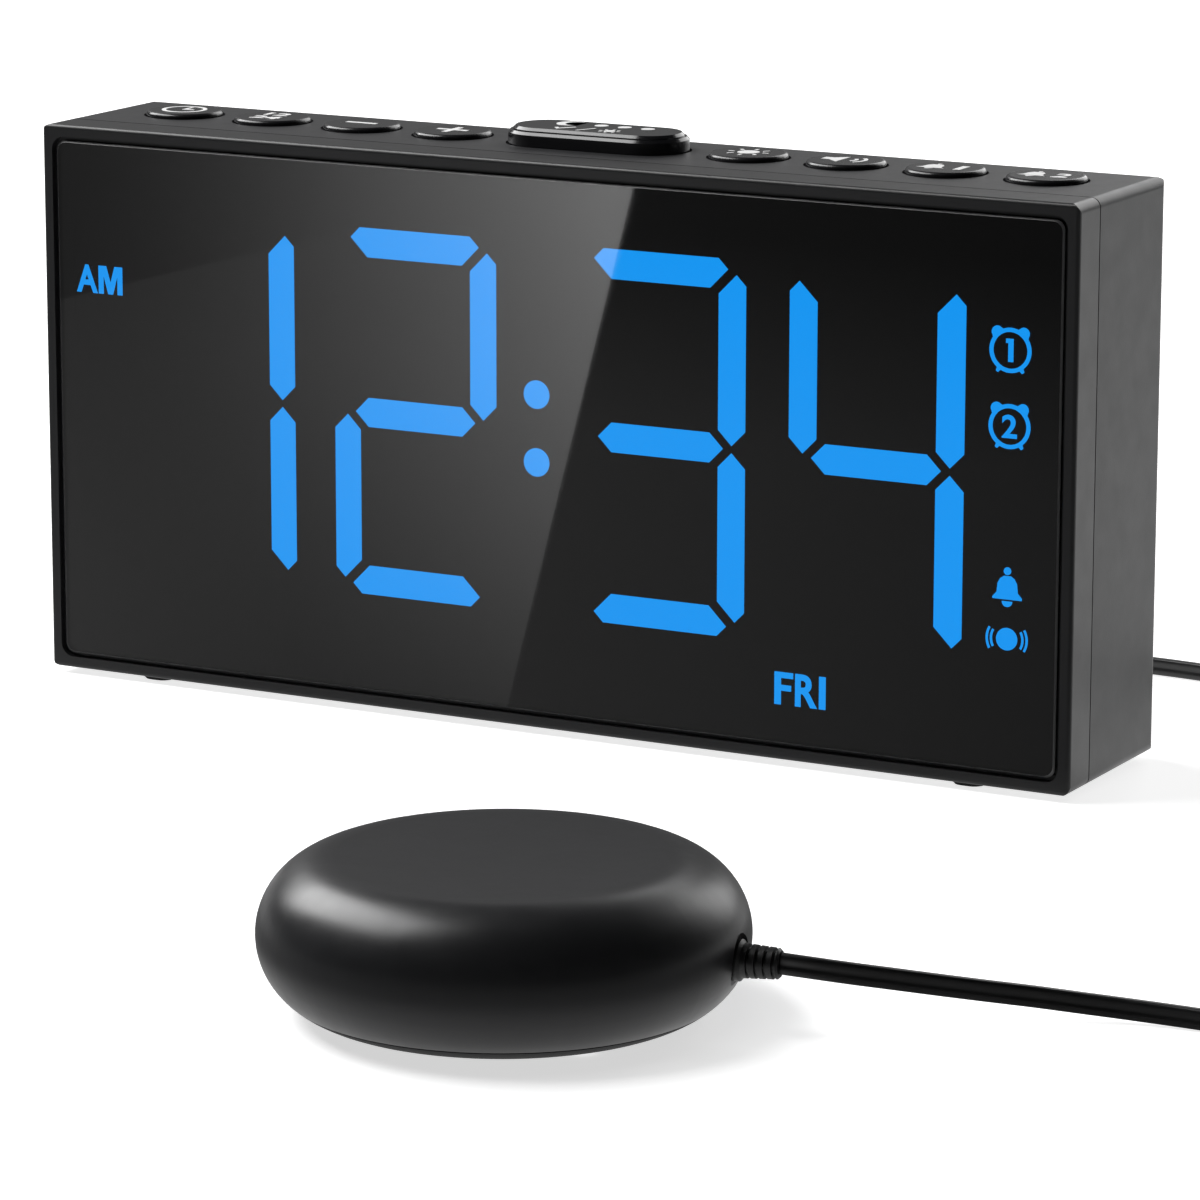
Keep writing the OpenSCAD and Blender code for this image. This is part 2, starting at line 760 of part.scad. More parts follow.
module snooze_bar() {
    straight = snooze_l - snooze_w;
    last = len(snooze_outline) - 2;
    right = [for (i = [1:last]) snooze_outline[i]];
    left = [for (i = [last:-1:1]) [-snooze_outline[i][0], snooze_outline[i][1]]];
    color("#2e2f32") on_clock() translate([0, keys_y, 0]) {
        for (s = [-1, 1]) translate([s * straight / 2, 0, 0]) rotate_extrude() polygon(snooze_outline);
        translate([-straight / 2, 0, 0]) rotate([90, 0, 90]) linear_extrude(straight)
            polygon(concat(right, left));
        translate([-snooze_stem_x - tab_w / 2, -snooze_w / 2 - tab_out, tab_z0])
            cube([2 * snooze_stem_x + tab_w, snooze_w + 2 * tab_out, tab_t]);
        for (x = [-snooze_stem_x, snooze_stem_x])
            translate([x, 0, plunger_z1]) cylinder(d = stem_d, h = stem_l + lap);
    }
}

module time_button() { button(0); }
module format_button() { button(1); }
module minus_button() { button(2); }
module plus_button() { button(3); }
module summer_button() { button(4); }
module volume_button() { button(5); }
module alarm_one_button() { button(6); }
module alarm_two_button() { button(7); }
module time_plunger() { key_plunger(0); }
module format_plunger() { key_plunger(1); }
module minus_plunger() { key_plunger(2); }
module plus_plunger() { key_plunger(3); }
module summer_plunger() { key_plunger(4); }
module volume_plunger() { key_plunger(5); }
module alarm_one_plunger() { key_plunger(6); }
module alarm_two_plunger() { key_plunger(7); }

module speaker_basket() {
    lip = 2.4;
    color("#4a4b4e") on_clock() difference() {
        union() {
            bar_y(speaker_x, back_z, speaker_d, speaker_y1 - 2.4, speaker_y1);
            bar_y(speaker_x, back_z, speaker_d * 0.55, speaker_y1 - speaker_t, speaker_y1 - 2.3);
        }
        bar_y(speaker_x, back_z, speaker_d - 2 * lip, speaker_y1 - 1.6, speaker_y1 + 1);
    }
}

module speaker_cone() {
    cone_r = speaker_d / 2 - 2.4;
    color("#232326") on_clock() translate([speaker_x, speaker_y1 - 1.6, back_z]) rotate([-90, 0, 0])
        rotate_extrude() polygon([[0, 0], [cone_r, 0], [cone_r, 1.2], [cone_r - 1, 1.4],
            [cone_r - 2.4, 0.8], [4, 0.5], [0, 1]]);
}

module power_socket() {
    deep = 9.5;
    color("#1a1a1c") on_clock() difference() {
        union() {
            box(power_x - 4.6, main_y1, socket_z - 5, power_x + 4.6, back_in_y - fit, socket_z + 5.6);
            bar_y(power_x, socket_z, power_nose_d, back_in_y - fit - lap, nose_y1);
        }
        difference() {
            bar_y(power_x, socket_z, power_bore, nose_y1 - deep, nose_y1 + 1);
            bar_y(power_x, socket_z, power_pin, nose_y1 - deep - 1, nose_y1 - 0.8);
        }
    }
}

module usb_port() {
    deep = 10;
    color("#b9bbbe") on_clock() union() {
        difference() {
            box(usb_x - usb_w / 2, main_y1, socket_z - usb_h / 2, usb_x + usb_w / 2, nose_y1,
                socket_z + usb_h / 2);
            box(usb_x - usb_w / 2 + usb_shell, nose_y1 - deep, socket_z - usb_h / 2 + usb_shell,
                usb_x + usb_w / 2 - usb_shell, nose_y1 + 1, socket_z + usb_h / 2 - usb_shell);
        }
        box(usb_x - 5.5, nose_y1 - deep - 0.1, socket_z + 0.4, usb_x + 5.5, nose_y1 - 1, socket_z + 2.2);
    }
}

module shaker_socket() {
    color("#1a1a1c") on_clock() difference() {
        union() {
            box(jack_x - 4, main_y1, socket_z - 4, jack_x + 4, back_in_y - fit, socket_z + 4);
            bar_y(jack_x, socket_z, jack_nose_d, back_in_y - fit - lap, nose_y1);
        }
        bar_y(jack_x, socket_z, jack_d + 2 * running, plug_y0 - jack_l - 0.4, nose_y1 + 1);
    }
}

// One ribbon between the display board and the main board, one from there up to the key board
module ribbon_cables() {
    half = ribbon_w / 2;
    t = ribbon_t;
    top_z = main_z1 - plug_in;
    color("#8f949b") on_clock() {
        box(-half, display_board_y1, ribbon_z, half, main_y0, ribbon_z + t);
        box(-half, main_y0 - 2 * t, top_z, half, main_y0, top_z + plug_in / 2);
        box(-half, main_y0 - 2 * t, top_z + plug_in / 2 - lap, half, main_y0 - t, key_board_z0);
    }
}

module backup_cell() {
    color("#c4c6c8") on_clock() bar_y(tub_x, back_z, cell_d, cell_y0, cell_y1);
}

module cell_contacts() {
    t = 0.3;
    side_z = back_z + cell_d / 2 + 0.1;
    color("#b9a46a") on_clock() {
        box(tub_x - 3, tub_floor_y, back_z - 4, tub_x + 3, tub_floor_y + t, back_z + 6);
        box(tub_x - 1.5, tub_floor_y + t, back_z - 1.5, tub_x + 1.5, cell_y0, back_z + 1.5);
        box(tub_x - 2.5, cell_y0, side_z, tub_x + 2.5, cell_y1, side_z + t);
    }
}

module battery_door() {
    half = door_w / 2;
    color("#55565a") on_clock() union() {
        difference() {
            box(tub_x - half, door_y0, hinge_z, tub_x + half, back_y, back_z + half);
            box(tub_x - 5, back_y - 0.5, back_z + half - 4, tub_x + 5, back_y + 1, back_z + half - 2.8);
        }
        translate([tub_x - half, hinge_y, hinge_z]) rotate([0, 90, 0]) cylinder(r = hinge_r, h = door_w);
        translate([tub_x - half - hinge_pin_l, hinge_y, hinge_z]) rotate([0, 90, 0])
            cylinder(d = hinge_pin_d, h = door_w + 2 * hinge_pin_l);
    }
}

// The shaker's outside, drawn in from it by t
module puck_half_outline(t) {
    union() {
        translate([0, t]) square([puck_flat, puck_h - 2 * t]);
        translate([puck_flat, puck_r]) intersection() {
            circle(puck_r - t);
            translate([0, -puck_r]) square([puck_r, puck_h]);
        }
    }
}

module puck_bosses(d, z0, z1) {
    for (a = puck_boss_angles) rotate([0, 0, a]) translate([puck_boss_r, 0, z0]) cylinder(d = d, h = z1 - z0);
}

module bar_x(d, x0, x1) {
    translate([x0, 0, 0]) rotate([0, 90, 0]) cylinder(d = d, h = x1 - x0);
}

module shaker_shell() {
    color("#1f2022") in_shaker() difference() {
        union() {
            difference() {
                rotate_extrude($fn = 96) puck_half_outline(0);
                rotate_extrude($fn = 96) puck_half_outline(puck_wall);
            }
            intersection() {
                rotate_extrude($fn = 96) puck_half_outline(puck_wall / 2);
                union() {
                    puck_bosses(puck_boss_d, puck_seam_z, puck_h);
                    translate([0, 0, exit_z]) bar_x(relief_boss_d, relief_boss_x, puck_d);
                }
            }
        }
        translate([0, 0, -1]) cylinder(d = puck_d, h = 1 + puck_seam_z);
        puck_bosses(puck_screw_d - 0.5, -1, puck_seam_z + puck_screw_reach + 1);
        translate([0, 0, exit_z]) {
            bar_x(relief_hole_d, relief_boss_x - 1, puck_d);
            bar_x(relief_spot_d, relief_face_x, puck_d);
        }
    }
}

module shaker_base() {
    lip_r = puck_flat + sqrt(pow(puck_r - puck_wall, 2) - pow(puck_r - puck_seam_z, 2)) - seat;
    color("#1f2022") in_shaker() difference() {
        union() {
            intersection() {
                rotate_extrude($fn = 96) puck_half_outline(0);
                cylinder(d = puck_d, h = base_t);
            }
            difference() {
                translate([0, 0, base_t - lap]) cylinder(r = lip_r, h = 1.6, $fn = 96);
                translate([0, 0, base_t - 1]) cylinder(r = lip_r - 1.4, h = 4, $fn = 96);
                puck_bosses(puck_boss_d + 2, 0, puck_h);
            }
            for (s = [-1, 1]) {
                translate([clamp_x, s * clamp_post_y, 0]) cylinder(d = clamp_foot, h = clamp_foot_z);
                translate([clamp_x + s * motor_l * 0.34 - cradle_t / 2, -cradle_w / 2, 0])
                    cube([cradle_t, cradle_w, motor_z0]);
            }
        }
        for (s = [-1, 1]) translate([clamp_x, s * clamp_post_y, base_t])
            cylinder(d = pilot_d, h = clamp_foot_z);
        puck_bosses(puck_screw_d + 0.3, -1, puck_h);
        puck_bosses(5.6, -1, 1.2);
    }
}

module shaker_screws() {
    color("#8d8f92") in_shaker() {
        puck_bosses(puck_screw_d, 1.2, puck_seam_z + puck_screw_reach);
        difference() {
            puck_bosses(5, 0.2, 1.21);
            puck_bosses(2, -1, 0.8);
        }
        for (s = [-1, 1]) translate([clamp_x, s * clamp_post_y, 0]) {
            translate([0, 0, base_t + 0.4]) cylinder(d = pilot_d, h = clamp_foot_z + clamp_t - base_t);
            translate([0, 0, clamp_foot_z + clamp_t]) cylinder(d = 3.6, h = 1.2);
        }
    }
}

// The motor's outline drawn out by t: a circle with two flats, standing across X
module motor_outline(t, x0, x1) {
    translate([0, 0, motor_z]) intersection() {
        bar_x(motor_d + 2 * t, x0, x1);
        translate([x0, -motor_d, -motor_h / 2 - t]) cube([x1 - x0, 2 * motor_d, motor_h + 2 * t]);
    }
}

module motor_can() {
    color("#b4b6b9") in_shaker() difference() {
        union() {
            motor_outline(0, motor_x0, motor_x1);
            translate([0, 0, motor_z]) bar_x(neck_d, motor_x0 - neck_l, motor_x0 + 1);
        }
        translate([0, 0, motor_z])
            bar_x(shaft_d + 2 * running, motor_x0 - neck_l - 1, motor_x0 + shaft_in + 0.3);
    }
}

module motor_end_cap() {
    color("#ece9e0") in_shaker() union() {
        motor_outline(-0.4, motor_x1, motor_x1 + end_cap_l);
        for (s = [-1, 1]) translate([motor_x1 + end_cap_l - lap, s * 4 - 1, motor_z - 0.2])
            cube([2, 2, 0.4]);
    }
}

module motor_clamp() {
    color("#9a9ca0") in_shaker() difference() {
        union() {
            intersection() {
                motor_outline(clamp_t, clamp_x - clamp_l / 2, clamp_x + clamp_l / 2);
                translate([0, -motor_d, motor_z]) cube([motor_x1, 2 * motor_d, motor_h]);
            }
            for (s = [-1, 1]) translate([clamp_x - clamp_l / 2, s > 0 ? motor_d / 2 : -motor_d / 2 - clamp_t,
                clamp_foot_z]) cube([clamp_l, clamp_t, motor_z - clamp_foot_z + lap]);
            for (s = [-1, 1]) translate([clamp_x - clamp_l / 2,
                s > 0 ? motor_d / 2 : -motor_d / 2 - clamp_t - clamp_foot, clamp_foot_z])
                cube([clamp_l, clamp_foot + clamp_t, clamp_t]);
        }
        motor_outline(0.02, motor_x0 - 1, motor_x1 + 1);
        for (s = [-1, 1]) translate([clamp_x, s * clamp_post_y, 0]) cylinder(d = pilot_d + 0.2, h = puck_h);
    }
}

module motor_shaft() {
    color("#c9cbce") in_shaker() translate([0, 0, motor_z])
        bar_x(shaft_d, weight_x0 - 0.6, motor_x0 + shaft_in);
}

module eccentric_weight() {
    color("#c2a25a") in_shaker() translate([0, 0, motor_z]) difference() {
        union() {
            intersection() {
                bar_x(2 * weight_r, weight_x0, weight_x1);
                translate([weight_x0, -weight_r, -weight_r]) cube([weight_l, 2 * weight_r, weight_r]);
            }
            bar_x(weight_hub_d, weight_x0, weight_x1);
        }
        bar_x(shaft_d, weight_x0 - 1, weight_x1 + 1);
    }
}

function unit(v) = v / norm(v);

// A smooth line through chosen points, n steps between each two
function smooth(p, n) = concat([for (i = [0:len(p) - 2], k = [0:n - 1])
    let (t = k / n, a = p[max(i - 1, 0)], b = p[i], c = p[i + 1], d = p[min(i + 2, len(p) - 1)])
    0.5 * (2 * b + (c - a) * t + (2 * a - 5 * b + 4 * c - d) * t * t
        + (3 * b - a - 3 * c + d) * t * t * t)], [p[len(p) - 1]]);

// Eight points round a flat cord that stands on its edge: across, and up
function cord_ring(w, t) = [for (k = [0:7]) let (a = 22.5 + 45 * k)
    [t / 2 * cos(a), (w - t) / 2 * sign(sin(a)) + t / 2 * sin(a)]];

// One closed solid that follows line p with the section ring
module swept(p, ring) {
    m = len(ring);
    n = len(p);
    points = [for (i = [0:n - 1])
        let (t = unit(p[min(i + 1, n - 1)] - p[max(i - 1, 0)]), s = unit(cross(t, [0, 0, 1])),
            u = cross(s, t))
        for (q = ring) p[i] + q[0] * s + q[1] * u];
    sides = [for (i = [0:n - 2], k = [0:m - 1])
        let (a = i * m + k, b = i * m + (k + 1) % m)
        each [[a, b, b + m], [a, b + m, a + m]]];
    first = [for (k = [1:m - 2]) [0, k + 1, k]];
    last = [for (k = [1:m - 2]) let (e = (n - 1) * m) [e, e + k, e + k + 1]];
    polyhedron(points = points, faces = concat(sides, first, last));
}

module motor_leads() {
    lead_d = 1.1;
    end_x = motor_x1 + end_cap_l + 2;
    color("#a8322a") in_shaker() for (s = [-1, 1])
        swept(smooth([[end_x, s * 4, motor_z], [end_x + 2, s * 4, motor_z],
            [end_x + 5, s * 2.4, motor_z - 0.4], [relief_boss_x - 3, s * 0.7, exit_z + 0.2],
            [relief_boss_x - 1, s * 0.7, exit_z]], 2), cord_ring(lead_d, lead_d));
}

// Moulded relief: a lip inside the shell, a neck, a collar and a ribbed sleeve
module strain_relief() {
    rib = (relief_end_x - relief_face_x - relief_collar_t - 0.8) / relief_ribs;
    sleeve_x = relief_face_x + relief_collar_t;
    taper = (relief_d1 - relief_d0) / (relief_end_x - sleeve_x) / 2;
    function sleeve_r(x) = relief_d0 / 2 + taper * (x - sleeve_x);
    ribs = [for (i = [0:relief_ribs - 1]) let (x = sleeve_x + 0.4 + i * rib)
        each [[sleeve_r(x), x], [sleeve_r(x + rib * 0.6), x + rib * 0.6],
            [sleeve_r(x + rib * 0.6) - 0.5, x + rib * 0.62], [sleeve_r(x + rib) - 0.5, x + rib * 0.98]]];
    color("#19191b") in_shaker() translate([0, 0, exit_z]) rotate([0, 90, 0]) rotate_extrude()
        polygon(concat([[0, relief_boss_x - 1], [relief_hole_d / 2 + 0.5, relief_boss_x - 1],
            [relief_hole_d / 2 + 0.6, relief_boss_x - running],
            [relief_hole_d / 2 - running, relief_boss_x - running],
            [relief_hole_d / 2 - running, relief_face_x + running],
            [relief_collar_d / 2, relief_face_x + running], [relief_collar_d / 2, sleeve_x]],
            ribs, [[relief_d1 / 2, relief_end_x - 0.4], [relief_d1 / 2, relief_end_x - 0.3],
            [relief_d1 / 2 - 0.3, relief_end_x], [0, relief_end_x]]));
}

module shaker_cord() {
    color("#1c1c1e") on_clock() swept(smooth(front_route, 1), cord_ring(cord_w, cord_t));
}

module socket_cord() {
    color("#1c1c1e") on_clock() swept(smooth(rear_route, 2), cord_ring(cord_w, cord_t));
}

module coil_section(grow) {
    translate([coil_r - coil_half - grow, max(0, -grow)]) square([2 * (coil_half + grow), coil_h + grow]);
}

module cord_coil() {
    color("#1c1c1e") on_clock() translate([coil_x, coil_y, 0]) rotate_extrude() coil_section(0);
}

module cord_tie() {
    color("#0f0f10") on_clock() translate([coil_x, coil_y, 0]) rotate([0, 0, 180 - tie_angle / 2])
        rotate_extrude(angle = tie_angle) difference() {
            coil_section(tie_gap + tie_t);
            coil_section(tie_gap);
        }
}

module plug_pin() {
    tip_l = 3;
    color("#c9cbce") on_clock() translate([jack_x, plug_y0, socket_z]) rotate([90, 0, 0])
        rotate_extrude() polygon([[0, 0], [jack_d / 2, 0], [jack_d / 2, jack_l - tip_l - 0.6],
            [jack_d / 2 - 0.3, jack_l - tip_l - 0.3], [jack_d / 2 - 0.1, jack_l - tip_l + 0.6],
            [0.5, jack_l], [0, jack_l]]);
}

module plug_grip() {
    color("#19191b") on_clock() translate([jack_x, plug_y0, socket_z]) rotate([-90, 0, 0])
        rotate_extrude() polygon([[0, 0], [grip_d / 2 - 0.5, 0], [grip_d / 2, 0.5],
            [grip_d / 2, grip_l * 0.7], [grip_d / 2 - 1.2, grip_l], [2.6, grip_l],
            [2, grip_l + grip_neck_l], [0, grip_l + grip_neck_l]]);
}

front_frame();
rear_housing();
display_lens();
tint_film();
segment_block();
lit_segments();
dark_segments();
lit_indicators();
display_board();
main_board();
key_board();
key_switches();
board_screws();
casing_screws();
rubber_feet();
speaker_basket();
speaker_cone();
power_socket();
usb_port();
shaker_socket();
ribbon_cables();
backup_cell();
cell_contacts();
battery_door();
time_button();
format_button();
minus_button();
plus_button();
summer_button();
volume_button();
alarm_one_button();
alarm_two_button();
snooze_bar();
time_plunger();
format_plunger();
minus_plunger();
plus_plunger();
summer_plunger();
volume_plunger();
alarm_one_plunger();
alarm_two_plunger();
snooze_plungers();
shaker_shell();
shaker_base();
shaker_screws();
motor_can();
motor_end_cap();
motor_clamp();
motor_shaft();
eccentric_weight();
motor_leads();
strain_relief();
shaker_cord();
cord_coil();
socket_cord();
cord_tie();
plug_grip();
plug_pin();
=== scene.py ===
import math

import bmesh
import bpy
from bpy.props import FloatProperty, FloatVectorProperty, IntProperty, PointerProperty
from mathutils import Matrix, Vector


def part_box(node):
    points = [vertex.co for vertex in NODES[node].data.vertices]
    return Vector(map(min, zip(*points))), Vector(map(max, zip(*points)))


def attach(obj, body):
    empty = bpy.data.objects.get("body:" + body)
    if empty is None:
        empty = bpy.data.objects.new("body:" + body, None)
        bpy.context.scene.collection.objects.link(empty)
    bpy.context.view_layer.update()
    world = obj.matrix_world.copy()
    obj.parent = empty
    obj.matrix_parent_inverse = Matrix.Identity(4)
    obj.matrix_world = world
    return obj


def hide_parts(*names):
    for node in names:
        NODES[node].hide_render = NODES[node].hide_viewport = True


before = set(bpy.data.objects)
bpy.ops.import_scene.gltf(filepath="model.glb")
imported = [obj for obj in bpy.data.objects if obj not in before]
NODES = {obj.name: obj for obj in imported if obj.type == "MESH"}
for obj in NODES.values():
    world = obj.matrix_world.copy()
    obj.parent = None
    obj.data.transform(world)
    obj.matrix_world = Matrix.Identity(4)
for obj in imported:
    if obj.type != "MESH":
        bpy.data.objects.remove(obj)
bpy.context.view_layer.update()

bl_info = {
    "name": "Bed Shaker Alarm Clock",
    "version": (1, 0, 0),
    "blender": (4, 5, 0),
    "location": "View3D > Sidebar > Bedside",
    "description": "Dresses a table alarm clock and its round bed shaker",
    "category": "Object",
}

MM = 0.001
# The middle of the frame, measured from the middle of the clock's front, in millimetres
MID_X = 5.05
MID_Y = -68.8
# The camera, from the foot of the clock's front in millimetres, its turns in degrees and its lens
EYE = (437.61, -792.84, 224.23)
EYE_YAW, EYE_PITCH, EYE_ROLL = 28.242, -12.554, 0.078
EYE_LENS = 170.44
# The middle of the shaker's foot, from the foot of the clock's front in millimetres
SHAKER = (71.0, -138.0, 0.0)


def at_clock(x, y, z):
    """A point measured in millimetres from the foot of the clock's front, in the frame's metres."""
    return Vector(((x - MID_X) * MM, (y - MID_Y) * MM, z * MM))


# Sizes and colours that a user may change
def colour_property(name, description, default):
    return FloatVectorProperty(name=name, description=description, subtype="COLOR", size=3,
                               min=0.0, max=1.0, default=default)


def length_property(name, description, default, **more):
    return FloatProperty(name=name, description=description, unit="LENGTH", default=default, **more)


class BedsideDisplaySettings(bpy.types.PropertyGroup):
    digit_colour: colour_property("Digit colour", "Colour of the lit digits and signs", (0.002, 0.325, 0.955))
    digit_glow: FloatProperty(
        name="Digit glow", description="Strength of the light from the digits",
        min=0.0, max=10.0, default=3.5)
    glass_tint: FloatProperty(
        name="Glass tint", description="How much light the smoked glass lets through", subtype="FACTOR",
        min=0.0, max=1.0, default=0.28)
    lens_ease: length_property("Lens edge", "Width of the cut along the lens's front edge", 0.0003, precision=5)
    sign_depth: length_property("Sign depth", "Thickness of a lit sign", 0.00014)


class BedsideCasingSettings(bpy.types.PropertyGroup):
    frame_colour: colour_property("Front frame", "Colour of the frame round the display", (0.017, 0.0172, 0.0185))
    housing_colour: colour_property("Housing", "Colour of the rear housing", (0.023, 0.0232, 0.025))
    key_colour: colour_property("Keys", "Colour of the round keys", (0.016, 0.016, 0.0175))
    screw_head: length_property("Screw head", "Diameter of the casing screws' heads", 0.0053)
    mark_colour: colour_property("Key marks", "Colour of the marks printed on the keys", (0.95, 0.95, 0.95))
    mark_size: FloatProperty(
        name="Mark size", description="Size of the marks on the keys, 1 being small", min=0.5, max=1.4,
        default=1.25)
    mark_depth: length_property("Mark depth", "Thickness of a printed mark", 0.00005)


class BedsideShakerSettings(bpy.types.PropertyGroup):
    shell_colour: colour_property("Shell", "Colour of the shaker's shell", (0.019, 0.0192, 0.021))
    cord_colour: colour_property("Cord", "Colour of the twin cord", (0.012, 0.012, 0.0125))
    cord_width: length_property("Cord width", "Width of the twin cord", 0.003)
    cord_thickness: length_property("Cord thickness", "Thickness of the twin cord", 0.0015)
    ridges: IntProperty(
        name="Plug ridges", description="Grip ridges round the shaker plug", min=2, max=7, default=7)


class BedsideStageSettings(bpy.types.PropertyGroup):
    floor_colour: colour_property("Floor", "Colour of the floor", (0.82, 0.82, 0.82))
    key_lamp: FloatProperty(
        name="Key lamp", description="Power of the soft lamp high on the left", unit="POWER", default=14.5)
    back_lamp: FloatProperty(
        name="Back lamp", description="Power of the soft lamp behind on the right", unit="POWER", default=4.6)
    surround: FloatProperty(
        name="Surround", description="Strength of the soft light from all round", min=0.0, max=2.0, default=0.35)


# Small builders that the operators share
def put(name, data):
    """An object in the scene that shows the given data."""
    thing = bpy.data.objects.new(name, data)
    bpy.context.scene.collection.objects.link(thing)
    return thing


def finish_piece(mesh, name, finish, body, smooth_angle=None):
    """Puts a finished mesh in the scene as a piece that rides on a body."""
    mesh.name = name
    mesh.materials.clear()
    mesh.materials.append(finish.material)
    if smooth_angle is not None:
        mesh.shade_smooth()
        mesh.set_sharp_from_angle(angle=math.radians(smooth_angle))
    piece = put(name, mesh)
    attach(piece, body)
    return piece


def mesh_of(shape):
    """A mesh of a bmesh, with its doubles merged and its faces turned outwards."""
    bmesh.ops.remove_doubles(shape, verts=shape.verts, dist=1e-7)
    bmesh.ops.recalc_face_normals(shape, faces=shape.faces)
    mesh = bpy.data.meshes.new("shape")
    shape.to_mesh(mesh)
    shape.free()
    return mesh


def joined(*meshes):
    """One mesh from several."""
    shape = bmesh.new()
    for mesh in meshes:
        shape.from_mesh(mesh)
        bpy.data.meshes.remove(mesh)
    return mesh_of(shape)


def evaluated_mesh(holder):
    """The plain mesh that an object's curve or modifiers make."""
    graph = bpy.context.evaluated_depsgraph_get()
    return bpy.data.meshes.new_from_object(holder.evaluated_get(graph))


def add_band(shape, near, far):
    """Faces between two closed rings of as many points."""
    for corners in zip(near, near[1:] + near[:1], far[1:] + far[:1], far):
        shape.faces.new(corners)


def add_tube(shape, rings):
    """A closed body that runs through rings of as many points."""
    shape.faces.new(rings[0])
    for near, far in zip(rings, rings[1:]):
        add_band(shape, near, far)
    shape.faces.new(rings[-1])


def on_circle(u, v, r, degrees):
    return (u + r * math.cos(math.radians(degrees)), v + r * math.sin(math.radians(degrees)))


def disc(u, v, r, count=40):
    return [on_circle(u, v, r, 360 * k / count) for k in range(count)]


def rectangle(u0, v0, u1, v1):
    return [(u0, v0), (u1, v0), (u1, v1), (u0, v1)]


def bar(u0, v0, u1, v1, width):
    """A straight stroke between two points."""
    a, b = Vector((u0, v0)), Vector((u1, v1))
    side = (b - a).normalized().orthogonal() * width / 2
    return [tuple(a - side), tuple(b - side), tuple(b + side), tuple(a + side)]


def arc_band(u, v, r, width, start, end, count=14):
    """A stroke along part of a circle, in degrees."""
    angles = [start + (end - start) * k / count for k in range(count + 1)]
    return ([on_circle(u, v, r + width / 2, a) for a in angles]
            + [on_circle(u, v, r - width / 2, a) for a in reversed(angles)])


class Plates:
    """Closed plates of one depth, drawn in millimetres.

    place turns (u, v, w) in millimetres into a point of the frame, w being the depth."""

    # The height of a capital letter at size 1
    CAPITAL = 0.7

    def __init__(self, place, depth):
        self.shape = bmesh.new()
        self.place = place
        self.depth = depth

    def add(self, outline, u=0.0, v=0.0, hole=None):
        """A plate from an outline moved by (u, v), with an optional hole of as many points."""
        rings = []
        for loop in [outline] + ([hole] if hole else []):
            rings.append([[self.shape.verts.new(self.place(u + a, v + b, w)) for a, b in loop]
                          for w in (0.0, self.depth)])
        for near, far in rings:
            add_band(self.shape, near, far)
        for side in (0, 1):
            if hole:
                add_band(self.shape, rings[0][side], rings[1][side])
            else:
                self.shape.faces.new(rings[0][side])

    def letter(self, words, width, height, bold, u, v):
        """Generic lettering that fills a width and a height, with its middle at (u, v)."""
        curve = bpy.data.curves.new("lettering", "FONT")
        curve.body = words
        curve.size = height / self.CAPITAL
        curve.offset = bold
        curve.extrude = self.depth / 2
        curve.resolution_u = 5
        holder = put("lettering", curve)
        mesh = evaluated_mesh(holder)
        bpy.data.objects.remove(holder)
        bpy.data.curves.remove(curve)
        xs, ys, _ = zip(*(point.co for point in mesh.vertices))
        across, up = width / (max(xs) - min(xs)), height / (max(ys) - min(ys))
        mid_x, mid_y = (min(xs) + max(xs)) / 2, (min(ys) + max(ys)) / 2
        for point in mesh.vertices:
            x, y, z = point.co
            point.co = self.place((x - mid_x) * across + u, (y - mid_y) * up + v, z + self.depth / 2)
        self.shape.from_mesh(mesh)
        bpy.data.meshes.remove(mesh)

    def mesh(self):
        return mesh_of(self.shape)


# Node trees
class Value:
    """A socket of a node tree, which the signs of arithmetic work on."""

    def __init__(self, tree, socket):
        self.tree = tree
        self.socket = socket

    def __add__(self, other):
        return self.tree.math("ADD", self, other)

    def __sub__(self, other):
        return self.tree.math("SUBTRACT", self, other)

    def __rsub__(self, other):
        return self.tree.math("SUBTRACT", other, self)

    def __mul__(self, other):
        return self.tree.math("MULTIPLY", self, other)

    def __truediv__(self, other):
        return self.tree.math("DIVIDE", self, other)

    def __rtruediv__(self, other):
        return self.tree.math("DIVIDE", other, self)

    def __pow__(self, other):
        return self.tree.math("POWER", self, other)

    __radd__ = __add__
    __rmul__ = __mul__


class Steps:
    """A node tree that is built from small steps."""

    def __init__(self, tree):
        self.tree = tree
        self.nodes = tree.nodes

    def feed(self, socket, value):
        if isinstance(value, Value):
            self.tree.links.new(value.socket, socket)
        else:
            socket.default_value = value

    def step(self, kind, inputs=(), output=0, **settings):
        """One node, its inputs given as (socket, value)."""
        node = self.nodes.new(kind)
        for name, value in settings.items():
            setattr(node, name, value)
        for socket, value in inputs:
            self.feed(node.inputs[socket], value)
        return Value(self, node.outputs[output])

    def math(self, operation, first, second=0.0):
        return self.step("ShaderNodeMath", ((0, first), (1, second)), operation=operation)

    def split(self, vector):
        """The three numbers of a vector."""
        return [self.step("ShaderNodeSeparateXYZ", ((0, vector),), i) for i in range(3)]

    def ramp(self, source, start, end, low, high):
        """Goes evenly from low to high as source goes from start to end."""
        return self.step("ShaderNodeMapRange", (
            ("Value", source), ("From Min", start), ("From Max", end), ("To Min", low), ("To Max", high)))

    def blend(self, share, first, second):
        """A number between two others."""
        return self.step("ShaderNodeMix", ((0, share), (2, first), (3, second)))

    def ray(self, name):
        return self.step("ShaderNodeLightPath", output=name)

    def seen(self):
        """1 on rays from the camera, also those that went through glass."""
        return self.math("MAXIMUM", self.ray("Is Camera Ray"), self.ray("Is Transmission Ray"))


